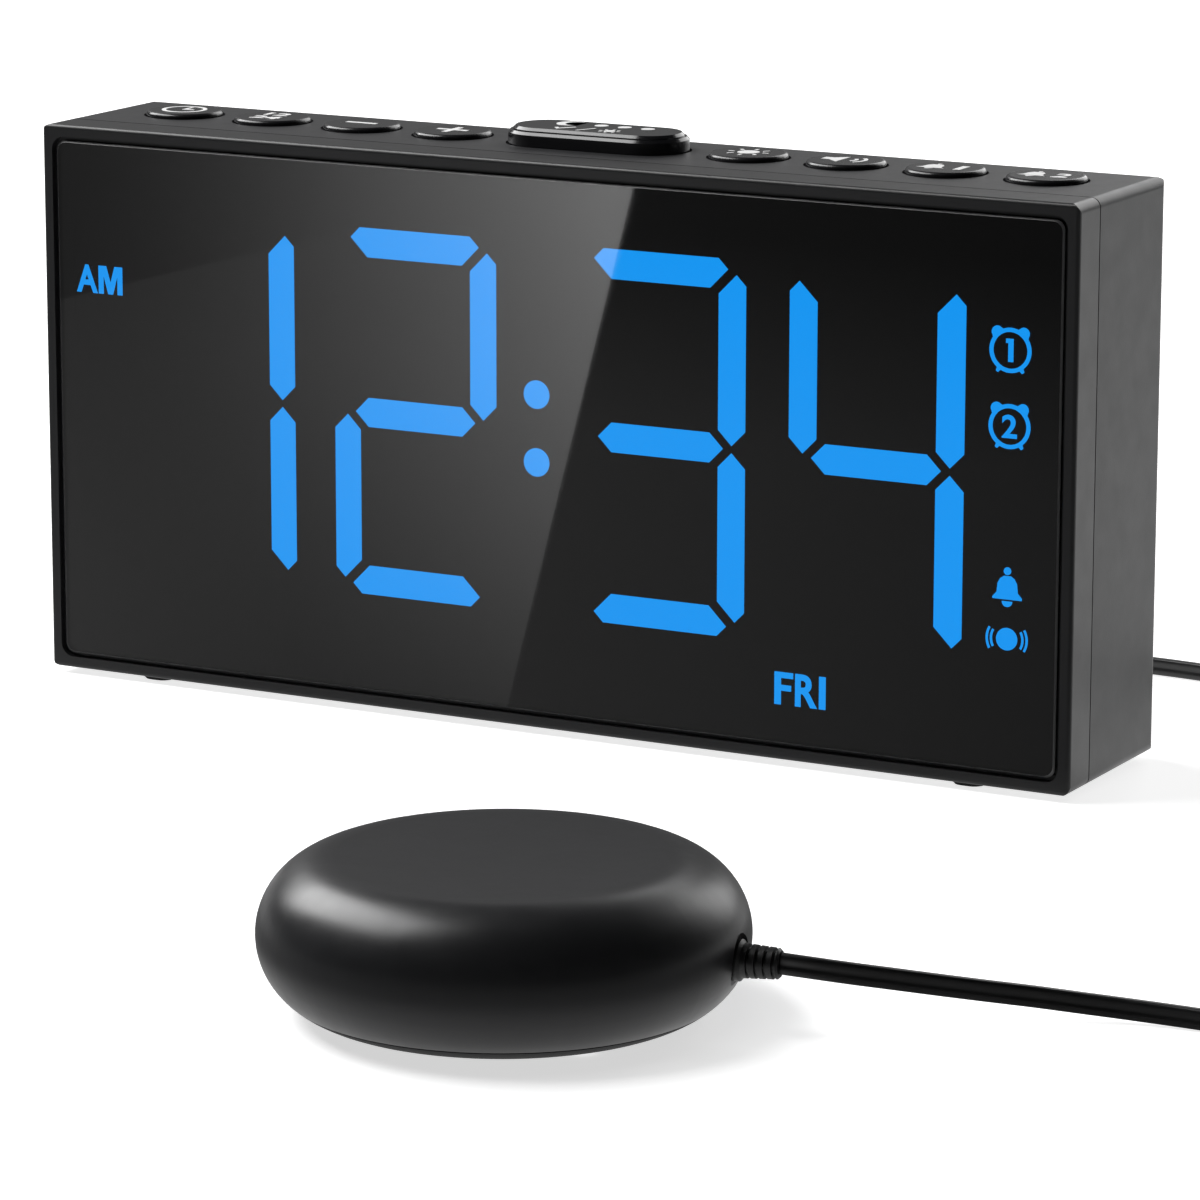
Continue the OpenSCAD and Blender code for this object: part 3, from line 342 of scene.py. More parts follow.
class Finish(Steps):
    """A material with one Principled shader, and a few ways to make it uneven."""

    def __init__(self, name, colour, roughness, metallic=0.0, specular=0.5):
        self.material = bpy.data.materials.new(name)
        self.material.use_nodes = True
        super().__init__(self.material.node_tree)
        self.place = self.step("ShaderNodeTexCoord", output="Object")
        self.colour = list(colour)
        self.shader = self.nodes["Principled BSDF"]
        self.set("Base Color", self.colour + [1.0])
        self.set("Roughness", roughness)
        self.set("Metallic", metallic)
        self.set("Specular IOR Level", specular)

    def set(self, name, value):
        self.feed(self.shader.inputs[name], value)
        return self

    def noise(self, scale, detail=3.0):
        return self.step("ShaderNodeTexNoise", (
            ("Vector", self.place), ("Scale", scale), ("Detail", detail), ("Roughness", 0.55)), "Fac")

    def spread(self, noise, low, high):
        """A value between low and high that follows a noise, which lies mostly between 0.3 and 0.7."""
        return self.ramp(noise, 0.3, 0.7, low, high)

    def grain(self, scale, depth, detail=3.0):
        """Fine relief, depth in metres."""
        return self.set("Normal", self.step("ShaderNodeBump", (
            ("Strength", 1.0), ("Distance", depth), ("Height", self.noise(scale, detail)))))

    def mottle(self, scale, amount):
        """Slow change of the colour's lightness."""
        dark, pale = ([min(1.0, c * share) for c in self.colour] + [1.0] for share in (1 - amount, 1 + amount))
        return self.set("Base Color", self.step("ShaderNodeMix", (
            (0, self.spread(self.noise(scale), 0.0, 1.0)), (6, dark), (7, pale)), 2, data_type="RGBA"))

    def uneven(self, scale, low, high):
        """Roughness that changes over the surface."""
        return self.set("Roughness", self.spread(self.noise(scale, 4.0), low, high))


class Shading(Finish):
    """The material of the floor or a card, which may look different to each kind of ray."""

    def __init__(self, name, colour=(0.8, 0.8, 0.8), roughness=0.5, specular=0.5):
        super().__init__(name, colour, roughness, specular=specular)
        self.plain = Value(self, self.shader.outputs[0])

    def emission(self, strength):
        return self.step("ShaderNodeEmission", (("Strength", strength),))

    def see_through(self):
        return self.step("ShaderNodeBsdfTransparent")

    def mix(self, share, first, second):
        return self.step("ShaderNodeMixShader", ((0, share), (1, first), (2, second)))

    def show(self, shader):
        self.feed(self.nodes["Material Output"].inputs["Surface"], shader)
        return self


def moulded(name, colour, roughness, grain=0.000012, scale=2600.0, specular=0.5):
    """Satin injection-moulded plastic with a fine spark-eroded grain."""
    finish = Finish(name, colour, roughness, specular=specular)
    return finish.mottle(60.0, 0.04).uneven(240.0, roughness - 0.02, roughness + 0.03).grain(scale, grain)


def polished(name, colour, roughness):
    """Glossy plastic, with the slight waviness of a moulding."""
    finish = Finish(name, colour, roughness)
    return finish.mottle(40.0, 0.05).uneven(90.0, roughness, roughness + 0.05).grain(120.0, 0.000006, 1.0)


def metal(name, colour, roughness):
    """Drawn or turned metal with fine marks."""
    finish = Finish(name, colour, roughness, metallic=1.0)
    return finish.mottle(200.0, 0.07).uneven(900.0, roughness - 0.06, roughness + 0.1).grain(1800.0, 0.000006, 4.0)


def glow(name, colour, strength):
    """The lit face of a light guide."""
    finish = Finish(name, (0.02, 0.06, 0.12), 0.4).uneven(300.0, 0.35, 0.5)
    return finish.set("Emission Color", (*colour, 1.0)).set("Emission Strength", strength)


def wear(finish, *nodes):
    """Gives frame nodes their finish."""
    for node in nodes:
        mesh = NODES[node].data
        mesh.materials.clear()
        mesh.materials.append(finish.material)


class Growing(Steps):
    """A Geometry Nodes tree with named inputs for its sizes."""

    def __init__(self, name):
        super().__init__(bpy.data.node_groups.new(name, "GeometryNodeTree"))
        self.tree.interface.new_socket("Geometry", in_out="OUTPUT", socket_type="NodeSocketGeometry")
        self.given = {}
        self.start = self.nodes.new("NodeGroupInput")
        self.places = self.add_input("Places", "Geometry")

    def add_input(self, name, kind, value=None):
        """A named input, and the value inside the tree that carries it."""
        item = self.tree.interface.new_socket(name, in_out="INPUT", socket_type="NodeSocket" + kind)
        if value is not None:
            item.default_value = value
        self.given[name] = item.identifier
        return Value(self, self.start.outputs[name])

    def vector(self, x=0.0, y=0.0, z=0.0):
        return self.step("ShaderNodeCombineXYZ", ((0, x), (1, y), (2, z)))

    def switch(self, test, first, second):
        """The second number where the test holds, and the first elsewhere."""
        return self.step("GeometryNodeSwitch", ((0, test), (1, first), (2, second)), input_type="FLOAT")

    def finish(self, instances):
        """Ends the tree in real geometry with its material."""
        real = self.step("GeometryNodeRealizeInstances", ((0, instances),))
        done = self.step("GeometryNodeSetMaterial", ((0, real), ("Material", self.add_input("Finish", "Material"))))
        self.feed(self.nodes.new("NodeGroupOutput").inputs[0], done)
        return self

    def grow(self, places, **values):
        """The plain mesh that the tree makes on places, its inputs given by name."""
        mesh = bpy.data.meshes.new("places")
        mesh.from_pydata([tuple(place) for place in places], [], [])
        holder = put("places", mesh)
        modifier = holder.modifiers.new(self.tree.name, "NODES")
        modifier.node_group = self.tree
        for name, value in values.items():
            modifier[self.given[name.replace("_", " ").capitalize()]] = value
        grown = evaluated_mesh(holder)
        holder.modifiers.remove(modifier)
        bpy.data.objects.remove(holder)
        bpy.data.meshes.remove(mesh)
        return grown


def screw_tree():
    """A pan-head screw with a cross recess on each point, its head pointing along the turned Z."""
    tree = Growing("pan_head_screws")
    head = tree.add_input("Head diameter", "Float", 0.0054) / 2.0
    high = tree.add_input("Head height", "Float", 0.002)
    shank = tree.add_input("Shank diameter", "Float", 0.0029) / 2.0
    deep = tree.add_input("Shank length", "Float", 0.014)
    long = tree.add_input("Recess length", "Float", 0.0028)
    wide = tree.add_input("Recess width", "Float", 0.0007)
    sunk = tree.add_input("Recess depth", "Float", 0.001)
    turn = tree.add_input("Turn", "Vector")
    # Twelve rings: five of them shape the shank, the rest the head
    rod = tree.step("GeometryNodeMeshCylinder", (
        ("Vertices", 40), ("Side Segments", 12), ("Radius", 1.0), ("Depth", 1.0)))
    x, y, z = tree.split(tree.step("GeometryNodeInputPosition"))
    share = z + 0.5
    in_head = tree.math("GREATER_THAN", share, 4.5 / 12)
    over = (share - 5 / 12) * (12 / 7)
    crown = head * (1.0 - tree.math("MAXIMUM", over, 0.0) ** 3.0 * 0.35)
    rise = high * (over * (2.0 - over))
    point = shank * tree.math("MINIMUM", 1.0, share * 6.0 + 0.3)
    fall = deep * (share * 3.0 - 1.0)
    radius = tree.switch(in_head, point, crown)
    screw = tree.step("GeometryNodeSetPosition", (
        (0, rod), ("Position", tree.vector(x * radius, y * radius, tree.switch(in_head, fall, rise)))))
    slots = []
    for size in (tree.vector(long, wide, sunk), tree.vector(wide, long, sunk)):
        block = tree.step("GeometryNodeMeshCube", (("Size", size),))
        slots.append(tree.step("GeometryNodeTransform", ((0, block), ("Translation", tree.vector(z=high)))))
    cut = tree.step("GeometryNodeMeshBoolean", ((0, screw), (1, slots[0]), (1, slots[1])),
                    operation="DIFFERENCE", solver="EXACT")
    placed = tree.step("GeometryNodeInstanceOnPoints", ((0, tree.places), ("Instance", cut), ("Rotation", turn)))
    driven = tree.step("FunctionNodeRandomValue", ((2, 0.0), (3, 1.5), ("Seed", 7)), 1, data_type="FLOAT")
    return tree.finish(tree.step("GeometryNodeRotateInstances", (
        (0, placed), ("Rotation", tree.vector(z=driven)))))


def ring_tree():
    """Round ridges in a row from each point, round an axis along Y."""
    tree = Growing("grip_ridges")
    count = tree.add_input("Ridges", "Int", 6)
    apart = tree.add_input("Ridge spacing", "Float", 0.002)
    radius = tree.add_input("Ridge radius", "Float", 0.0041)
    round_by = tree.add_input("Ridge thickness", "Float", 0.0007)
    line = tree.step("GeometryNodeMeshLine", (("Count", count), ("Offset", tree.vector(y=apart))))
    row = tree.step("GeometryNodeInstanceOnPoints", ((0, tree.places), ("Instance", line)))
    row = tree.step("GeometryNodeRealizeInstances", ((0, row),))
    loop = tree.step("GeometryNodeCurvePrimitiveCircle", (("Resolution", 56), ("Radius", radius)))
    section = tree.step("GeometryNodeCurvePrimitiveCircle", (("Resolution", 10), ("Radius", round_by / 2.0)))
    ring = tree.step("GeometryNodeCurveToMesh", ((0, loop), (1, section)))
    return tree.finish(tree.step("GeometryNodeInstanceOnPoints", (
        (0, row), ("Instance", ring), ("Rotation", (math.pi / 2, 0.0, 0.0)))))


# The cord's route, in millimetres from the foot of the clock's front
FRONT_ROUTE = [
    (110, -131.1, 9.6), (114, -129.8, 9.2), (118.3, -126.9, 8.3), (123.1, -122.5, 7),
    (127.8, -117.8, 5.6), (132.6, -113.3, 4.3), (138, -109.3, 3.2), (144, -106.2, 2.3),
    (151, -104, 1.7), (160, -103.2, 1.5), (170, -103.5, 1.5), (180, -104.2, 1.5),
    (190, -104.35, 1.5)]
REAR_ROUTE = [
    (211.9, -82, 4.6), (212, -72, 4), (211.5, -60, 2.3), (210, -46, 1.5),
    (206.5, -30, 1.5), (201, -12, 1.5), (193.5, 6, 1.5), (183.5, 24, 1.5), (171, 41, 1.5),
    (156, 56, 1.5), (139, 68.5, 1.5), (120, 78, 1.5), (100, 84.5, 1.5), (80, 87.4, 1.5),
    (62, 87, 1.9), (47, 82.5, 4.2), (36, 75, 8.2), (31, 67, 11.8), (30, 60.5, 13)]
# How far the drawn cord floats over that route, so it doesn't sink into the table
CORD_LIFT = 0.06


def smooth_line(points, steps):
    """The smooth line through chosen points that part.scad draws too."""
    points = [Vector(p) for p in points]
    last = len(points) - 1
    line = []
    for i in range(last):
        a, b = points[max(i - 1, 0)], points[i]
        c, d = points[i + 1], points[min(i + 2, last)]
        for k in range(steps):
            t = k / steps
            line.append(0.5 * (2 * b + (c - a) * t + (2 * a - 5 * b + 4 * c - d) * t * t
                               + (3 * b - a - 3 * c + d) * t ** 3))
    line.append(points[last])
    return line


def coil_line():
    """Six turns inwards on the table, half a turn that climbs, then outwards on top of them."""
    middle = (190.0, -82.0)
    turns, per_turn = 12.25, 40
    inwards, climb = 6.0, 0.5
    outer, apart = 22.35, 1.7
    inner = outer - apart * inwards
    low, rise = 1.5, 3.1
    line = []
    for k in range(1, int(turns * per_turn)):
        turn = k / per_turn
        share = min(max((turn - inwards) / climb, 0.0), 1.0)
        r = inner + apart * max(inwards - turn, turn - inwards - climb, 0.0)
        z = low + rise * (3 * share ** 2 - 2 * share ** 3)
        line.append(Vector((*on_circle(*middle, r, 360.0 * turn - 90.0), z)))
    return line


def cord_section(width, thickness):
    """The outline of a twin cord on its edge: two flattened cores with a groove between them."""
    r = thickness / 2
    reach = width / 2 - r
    count, past_half = 14, 50.0
    points = []
    for centre, start in ((-reach, 180.0), (reach, 0.0)):
        for k in range(count):
            angle = math.radians(start - past_half + (180.0 + 2 * past_half) * k / (count - 1))
            flat = math.copysign(math.sqrt(abs(math.cos(angle))), math.cos(angle))
            points.append((r * flat, centre + r * math.sin(angle)))
    return points


def swept_mesh(line, section):
    """A closed tube along a line of frame points, its section given as (across, up)."""
    shape = bmesh.new()
    rings = []
    for i, point in enumerate(line):
        along = (line[min(i + 1, len(line) - 1)] - line[max(i - 1, 0)]).normalized()
        across = along.cross(Vector((0, 0, 1))).normalized()
        up = across.cross(along)
        rings.append([shape.verts.new(point + across * a + up * b) for a, b in section])
    add_tube(shape, rings)
    return mesh_of(shape)


class BEDSIDE_OT_cord(bpy.types.Operator):
    """Lays the twin cord from the shaker, through its coil, to the plug behind the clock"""
    bl_idname = "bedside.cord"
    bl_label = "Cord"

    def execute(self, context):
        settings = context.scene.bedside_shaker
        route = smooth_line(FRONT_ROUTE, 4) + coil_line() + smooth_line(REAR_ROUTE, 5)
        line = [at_clock(p.x, p.y, p.z + CORD_LIFT) for p in route]
        sleeve = Finish("cord_sleeve", settings.cord_colour, 0.38)
        sleeve.mottle(90.0, 0.1).uneven(200.0, 0.32, 0.46).grain(900.0, 0.00001)
        mesh = swept_mesh(line, cord_section(settings.cord_width, settings.cord_thickness))
        cord = finish_piece(mesh, "twin_cord", sleeve, "clock", 50)
        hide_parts("shaker_cord", "cord_coil", "socket_cord")
        relief = Finish("relief_rubber", (0.014, 0.014, 0.0145), 0.42)
        relief.mottle(120.0, 0.1).uneven(400.0, 0.36, 0.5).grain(1400.0, 0.000012)
        wear(relief, "strain_relief", "plug_grip")
        low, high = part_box("plug_grip")
        first_ridge = ((low[0] + high[0]) / 2, low[1] + 0.005, (low[2] + high[2]) / 2)
        ridges = finish_piece(ring_tree().grow([first_ridge], ridges=settings.ridges, finish=relief.material),
                              "plug_ridges", relief, "clock", 60)
        wear(Finish("tie_strap", (0.01, 0.01, 0.011), 0.6).mottle(300.0, 0.2).grain(2200.0, 0.00004, 2.0),
             "cord_tie")
        wear(metal("plug_nickel", (0.72, 0.7, 0.66), 0.22), "plug_pin")
        return {"FINISHED"}


def upright(x0, x1, y, z0, z1):
    """The corners of an upright plate that faces the front."""
    return [(x0, y, z0), (x1, y, z0), (x1, y, z1), (x0, y, z1)]


class BEDSIDE_OT_stage(bpy.types.Operator):
    """Makes the floor, the lamps and the camera"""
    bl_idname = "bedside.stage"
    bl_label = "Stage"

    def execute(self, context):
        settings = context.scene.bedside_stage
        scene = context.scene
        scene.view_settings.view_transform = "Standard"
        self.camera(scene)
        self.lamp("key_lamp", (-0.68, 0.03, 0.785), 0.50, 1.15, settings.key_lamp, -43)
        self.lamp("back_lamp", (0.13, 1.13, 0.50), 0.85, 0.75, settings.back_lamp, 0)
        self.floor(settings.floor_colour)
        self.lens_card()
        self.digit_shade()
        self.back_card()
        self.world(scene, settings.surround)
        return {"FINISHED"}

    def camera(self, scene):
        data = bpy.data.cameras.new("camera")
        data.sensor_fit = "HORIZONTAL"
        data.sensor_width = 36.0
        data.lens = EYE_LENS
        data.clip_start = 0.05
        data.clip_end = 50.0
        scene.camera = put("camera", data)
        place = Matrix.Translation(at_clock(*EYE))
        for degrees, axis in ((EYE_YAW, "Z"), (90 + EYE_PITCH, "X"), (EYE_ROLL, "Z")):
            place = place @ Matrix.Rotation(math.radians(degrees), 4, axis)
        scene.camera.matrix_world = place

    def lamp(self, name, place, width, height, power, lean):
        """A soft lamp that faces the middle of the table, turned round its own axis by lean degrees."""
        data = bpy.data.lights.new(name, "AREA")
        data.shape = "RECTANGLE"
        data.size = width
        data.size_y = height
        data.energy = power
        facing = (Vector((0.05, -0.05, 0.02)) - Vector(place)).to_track_quat("-Z", "Y").to_matrix().to_4x4()
        leaned = facing @ Matrix.Rotation(math.radians(lean), 4, "Z")
        put(name, data).matrix_world = Matrix.Translation(place) @ leaned

    def plate(self, name, corners, tree):
        """A plate of the stage, from its corners in the frame."""
        mesh = bpy.data.meshes.new(name)
        mesh.from_pydata(corners, [], [tuple(range(len(corners)))])
        mesh.materials.append(tree.material)
        plate = put(name, mesh)
        return plate

    def card(self, name, corners, tree, through_glass=False):
        """A plate that shows in reflections only, or also through glass."""
        card = self.plate(name, corners, tree)
        for ray in ("camera", "diffuse", "volume_scatter", "shadow"):
            setattr(card, "visible_" + ray, False)
        card.visible_transmission = through_glass

    def floor(self, colour):
        """Pale board that the camera and the reflections see as white, and that keeps the shadows."""
        reach, under = 6.0, -0.0001
        tree = Shading("floor_board", colour, 0.7, specular=0.1)
        across, deep, _ = tree.split(tree.place)
        middle = at_clock(*SHAKER)
        off_x, off_y = across - middle.x, deep - middle.y
        from_shaker = tree.math("SQRT", off_x * off_x + off_y * off_y)
        far = tree.step("ShaderNodeVectorMath", ((0, tree.place),), "Value", operation="LENGTH")
        # The lift to white grows far out, so the floor stays evenly white. It drops close round the shaker, which
        # paints a shadow there that deepens the shaker's real one.
        lift = tree.math("MINIMUM", tree.ramp(far, 0.35, 1.1, 0.78, 0.87),
                         tree.ramp(from_shaker, 0.032, 0.052, 0.63, 0.87))
        lifted = tree.step("ShaderNodeAddShader", ((0, tree.plain), (1, tree.emission(lift))))
        # Reflections see a white board under and behind the clock, a painted bright reflection close round the
        # shaker, and less of the board out in front
        board = tree.math("MAXIMUM", tree.ramp(from_shaker, 0.034, 0.056, 0.8, 0.2),
                          tree.ramp(deep, 0.035, 0.095, 0.0, 1.2))
        tree.show(tree.mix(tree.ray("Is Glossy Ray"), tree.mix(tree.seen(), tree.plain, lifted),
                           tree.emission(board)))
        self.plate("floor", [(x, y, under) for x, y in rectangle(-reach, -reach, reach, reach)], tree)

    def lens_card(self):
        """A card on the table that only the smoked glass reflects: graded on one side, near black on the other.

        The glass shows a point of the table where the line to it from the camera's mirror image
        crosses the glass, so the card is shaded by that place on the glass."""
        tree = Shading("lens_card_grade")
        across, deep, _ = tree.split(tree.place)
        eye, glass = at_clock(*EYE), at_clock(0, 0.4, 0).y
        mirrored = 2 * glass - eye.y
        share = (mirrored - glass) / (mirrored - deep)
        high = eye.z * (1.0 - share)
        wide = eye.x + share * (across - eye.x)
        left_end, edge, middle, right_end = (at_clock(x, 0, 0).x for x in (-92, -6.65, 12, 92))
        # The bright side grows towards the border between both sides
        left = tree.ramp(wide, left_end, middle, 0.0, 1.0)
        growth = left ** 2.0 * tree.ramp(high, 0.004, 0.09, 0.25, 2.3)
        dip = tree.ramp(left, 0.0, 0.45, 0.0, 0.17) * tree.ramp(high, 0.02, 0.06, 1.0, 0.0)
        bright = tree.ramp(high, 0.02, 0.07, 0.53, 0.4) + growth - dip
        # Its upper left corner is dimmer, behind a line that leans
        corner = high - 0.2855 * (wide - at_clock(-91.8, 0, 0).x)
        dimmed = tree.ramp(corner, 0.0646, 0.065, 0.0, 0.36) * tree.ramp(left, 0.0, 0.6, 1.0, 0.0)
        dark = tree.math("MINIMUM", tree.ramp(high, 0.0, 0.06, 0.335, 0.3),
                         tree.ramp(high, 0.05, 0.085, 0.315, 0.118)) * tree.ramp(wide, edge, right_end, 1.15, 0.7)
        # The border leans too
        side = tree.ramp(wide - 0.2635 * high, edge - 0.0001, edge + 0.0001, 0.0, 1.0)
        strength = tree.blend(side, bright * (1.0 - dimmed), dark)
        # Only rays from as far as the glass see the card, so the shaker still reflects the table
        far = tree.math("GREATER_THAN", tree.ray("Ray Length"), 1.1 * (glass - deep))
        tree.show(tree.mix(far, tree.see_through(), tree.emission(strength)))
        corners = [at_clock(x, y, 0) for x, y in ((-112, -5), (97, -5), (-130, -590), (-495, -590))]
        self.card("lens_card", corners, tree, through_glass=True)

    def digit_shade(self):
        """A dim card before the glass, seen from the front only and in reflections, so the digits tint nothing."""
        low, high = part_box("front_frame")
        before = low[1] - 0.0012
        tree = Shading("digit_shade_dim")
        backfacing = tree.step("ShaderNodeNewGeometry", output="Backfacing")
        tree.show(tree.mix(backfacing, tree.emission(0.14), tree.see_through()))
        self.card("digit_shade", upright(low[0], high[0], before, low[2], high[2]), tree)

    def back_card(self):
        """A dim upright card far behind, which the tops of the casing and the keys reflect."""
        tree = Shading("back_card_grade")
        across, _, high = tree.split(tree.place)
        side = tree.math("MAXIMUM", tree.ramp(across, -1.1, -0.55, 0.2, 0.85),
                         tree.ramp(across, -0.66, -0.48, 0.7, 1.4))
        tree.show(tree.emission(tree.ramp(high, 0.2, 0.75, 0.16, 0.5) * side))
        self.card("back_card", upright(-1.8, 1.3, 1.5, 0.0, 1.3), tree)

    def world(self, scene, surround):
        """White to the camera and through glass, dim in reflections, and soft light elsewhere."""
        scene.world = bpy.data.worlds.new("studio")
        scene.world.use_nodes = True
        tree = Steps(scene.world.node_tree)
        dim = tree.blend(tree.ray("Is Glossy Ray"), surround, 0.05)
        tree.feed(tree.nodes["Background"].inputs["Strength"], tree.blend(tree.seen(), dim, 1.0))


def on_display(depth_at):
    """Turns (x, z, depth) on the display into a frame point."""
    return lambda u, v, w: at_clock(u, depth_at + w, v)


def alarm_sign(plates, u, v):
    """A round alarm clock with two ears and two feet, drawn as one outline."""
    rim, ear_size, foot_reach, count = 3.55, 0.98, 4.1, 120
    outline = []
    for k in range(count):
        angle = 360 * k / count
        reach = rim
        for ear in (51, 129):
            apart = math.radians(angle - ear)
            off = rim * math.sin(apart)
            if abs(off) < ear_size and math.cos(apart) > 0:
                reach = max(reach, rim * math.cos(apart) + math.sqrt(ear_size ** 2 - off ** 2))
        if min(abs(angle - 237), abs(angle - 303)) < 4:
            reach = foot_reach
        outline.append(on_circle(0, 0, reach, angle))
    plates.add(outline, u, v, hole=disc(0, 0, 2.89, count))


def bell_sign(plates, u, v, half, knob, clapper):
    """A bell from its right half. knob and clapper give (distance from the middle, radius, points)."""
    plates.add(half + [(-a, b) for a, b in reversed(half)], u, v)
    up, r, count = knob
    plates.add(disc(u, v + up, r, count))
    down, r, count = clapper
    plates.add(arc_band(u, v - down, r, 2 * r, 180, 360, count))


def shake_sign(plates, u, v):
    plates.add(disc(u, v, 1.8))
    for r in (2.7, 3.42):
        for middle in (0, 180):
            plates.add(arc_band(u, v, r, 0.36, middle - 30, middle + 30))


class BEDSIDE_OT_display(bpy.types.Operator):
    """Makes the smoked glass, the glowing digits and the small signs"""
    bl_idname = "bedside.display"
    bl_label = "Display"

    def execute(self, context):
        settings = context.scene.bedside_display
        lit = glow("digit_blue", settings.digit_colour, settings.digit_glow)
        wear(lit, "lit_segments")
        dark = moulded("segment_mask", (0.006, 0.006, 0.0068), 0.7, 0.000002, 900.0, 0.12)
        wear(dark, "segment_block")
        wear(moulded("unlit_guides", (0.0062, 0.0063, 0.0072), 0.6, specular=0.12), "dark_segments")
        self.glass(settings)
        self.signs(settings, lit)
        self.sign_backs(dark)
        return {"FINISHED"}

    def glass(self, settings):
        """The lens, with its tint film behind it, as one plate with eased edges."""
        low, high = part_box("display_lens")
        r, film_gap = 1.6 * MM, 0.05 * MM
        outline = []
        for x, z, start in ((high[0] - r, high[2] - r, 0), (low[0] + r, high[2] - r, 90),
                            (low[0] + r, low[2] + r, 180), (high[0] - r, low[2] + r, 270)):
            outline += [on_circle(x, z, r, start + 90 * k / 8) for k in range(9)]
        mid_x, mid_z = (low[0] + high[0]) / 2, (low[2] + high[2]) / 2
        ease = settings.lens_ease
        shape = bmesh.new()
        rings = []
        for depth, inset in ((0.0, ease), (ease, 0.0), (high[1] - low[1] - film_gap, 0.0)):
            rings.append([shape.verts.new((x - math.copysign(inset, x - mid_x), low[1] + depth,
                                           z - math.copysign(inset, z - mid_z))) for x, z in outline])
        add_tube(shape, rings)

        smoked = Finish("smoked_glass", (settings.glass_tint,) * 3, 0.015).grain(14.0, 0.00001, 1.0)
        smoked.set("Transmission Weight", 1.0).set("IOR", 1.5)
        glass = finish_piece(mesh_of(shape), "display_glass", smoked, "clock")
        cut = Finish("lens_edge", (0.085, 0.085, 0.087), 0.38, specular=1.0)
        glass.data.materials.append(cut.mottle(300.0, 0.1).grain(900.0, 0.000003).material)
        for face in glass.data.polygons:
            face.material_index = int(0.1 < -face.normal.y < 0.9)
        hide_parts("display_lens", "tint_film")

    def signs(self, settings, lit):
        """The colon, the day, the half of the day and the signs at the right."""
        plates = Plates(on_display(1.25), settings.sign_depth / MM)
        for side in (-1, 1):
            plates.add(disc(-0.5, 50.85 + side * 5.6, 2.35))
        alarm_sign(plates, 83.3, 70.85)
        alarm_sign(plates, 83.35, 58.85)
        plates.add([(-0.75, 1.82), (0.5, 1.82), (0.5, -1.82), (-0.35, -1.82), (-0.35, 1.12), (-0.75, 1.12)],
                   83.3, 70.85)
        plates.letter("2", 2.55, 3.7, 0.12, 83.35, 58.85)
        plates.letter("A", 4.15, 4.75, 0.17, -87.07, 68.7)
        plates.add([(0, 0), (0, 4.75), (1.5, 4.75), (2.35, 1.9), (3.2, 4.75), (4.7, 4.75), (4.7, 0),
                    (3.75, 0), (3.75, 3.3), (2.8, 0), (1.9, 0), (0.95, 3.3), (0.95, 0)], -84.75, 66.33)
        plates.add([(0, 0), (0, 5.35), (3.3, 5.35), (3.3, 4.4), (1.15, 4.4), (1.15, 3.25), (2.95, 3.25),
                    (2.95, 2.3), (1.15, 2.3), (1.15, 0)], 43.0, 9.93)
        plates.letter("R", 3.9, 5.35, 0.2, 48.65, 12.6)
        plates.add(rectangle(0, 0, 1.15, 5.35), 50.95, 9.93)
        bell_sign(plates, 83.45, 33.3,
                  [(2.5, -1.95), (2.5, -1.6), (1.8, -0.85), (1.65, 0.6), (1.2, 1.4), (0.6, 1.8)],
                  (2.58, 0.62, 20), (2.25, 0.45, 8))
        shake_sign(plates, 83.5, 25.0)
        signs = finish_piece(plates.mesh(), "lit_signs", lit, "clock")
        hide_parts("lit_indicators")

    def sign_backs(self, dark):
        """The dark plates behind the signs, and a printed border that hides the ledge of the glass."""
        backs = Plates(on_display(1.4), 4.8)
        for u, v, wide, high in ((-83.375, 68.65, 11.4, 5.2), (83.375, 71.0, 9, 9), (83.375, 59.0, 9, 9),
                                 (83.375, 33.3, 6, 6.6), (83.375, 24.85, 8.4, 4.4), (47.4, 12.5, 10.2, 6)):
            a, b = wide / 2 - 0.01, high / 2 - 0.01
            backs.add(rectangle(-a, -b, a, b), u, v)
        border = Plates(on_display(1.16), 0.035)
        border.add(rectangle(-92.2, 4.0, 92.2, 7.2))
        border.add(rectangle(-92.2, 88.6, 92.2, 91.6))
        for side in (-1, 1):
            backs.add(disc(-0.6, 50.65 + side * 5.55, 2.27, 48))
            for u0, v0, u1, v1 in ((89.4, 7.2, 92.2, 88.6), (84.9, 7.2, 89.4, 12.0), (84.9, 82.7, 89.4, 88.6)):
                border.add(rectangle(side * u0, v0, side * u1, v1))
        plates = finish_piece(joined(backs.mesh(), border.mesh()), "sign_plates", dark, "clock")


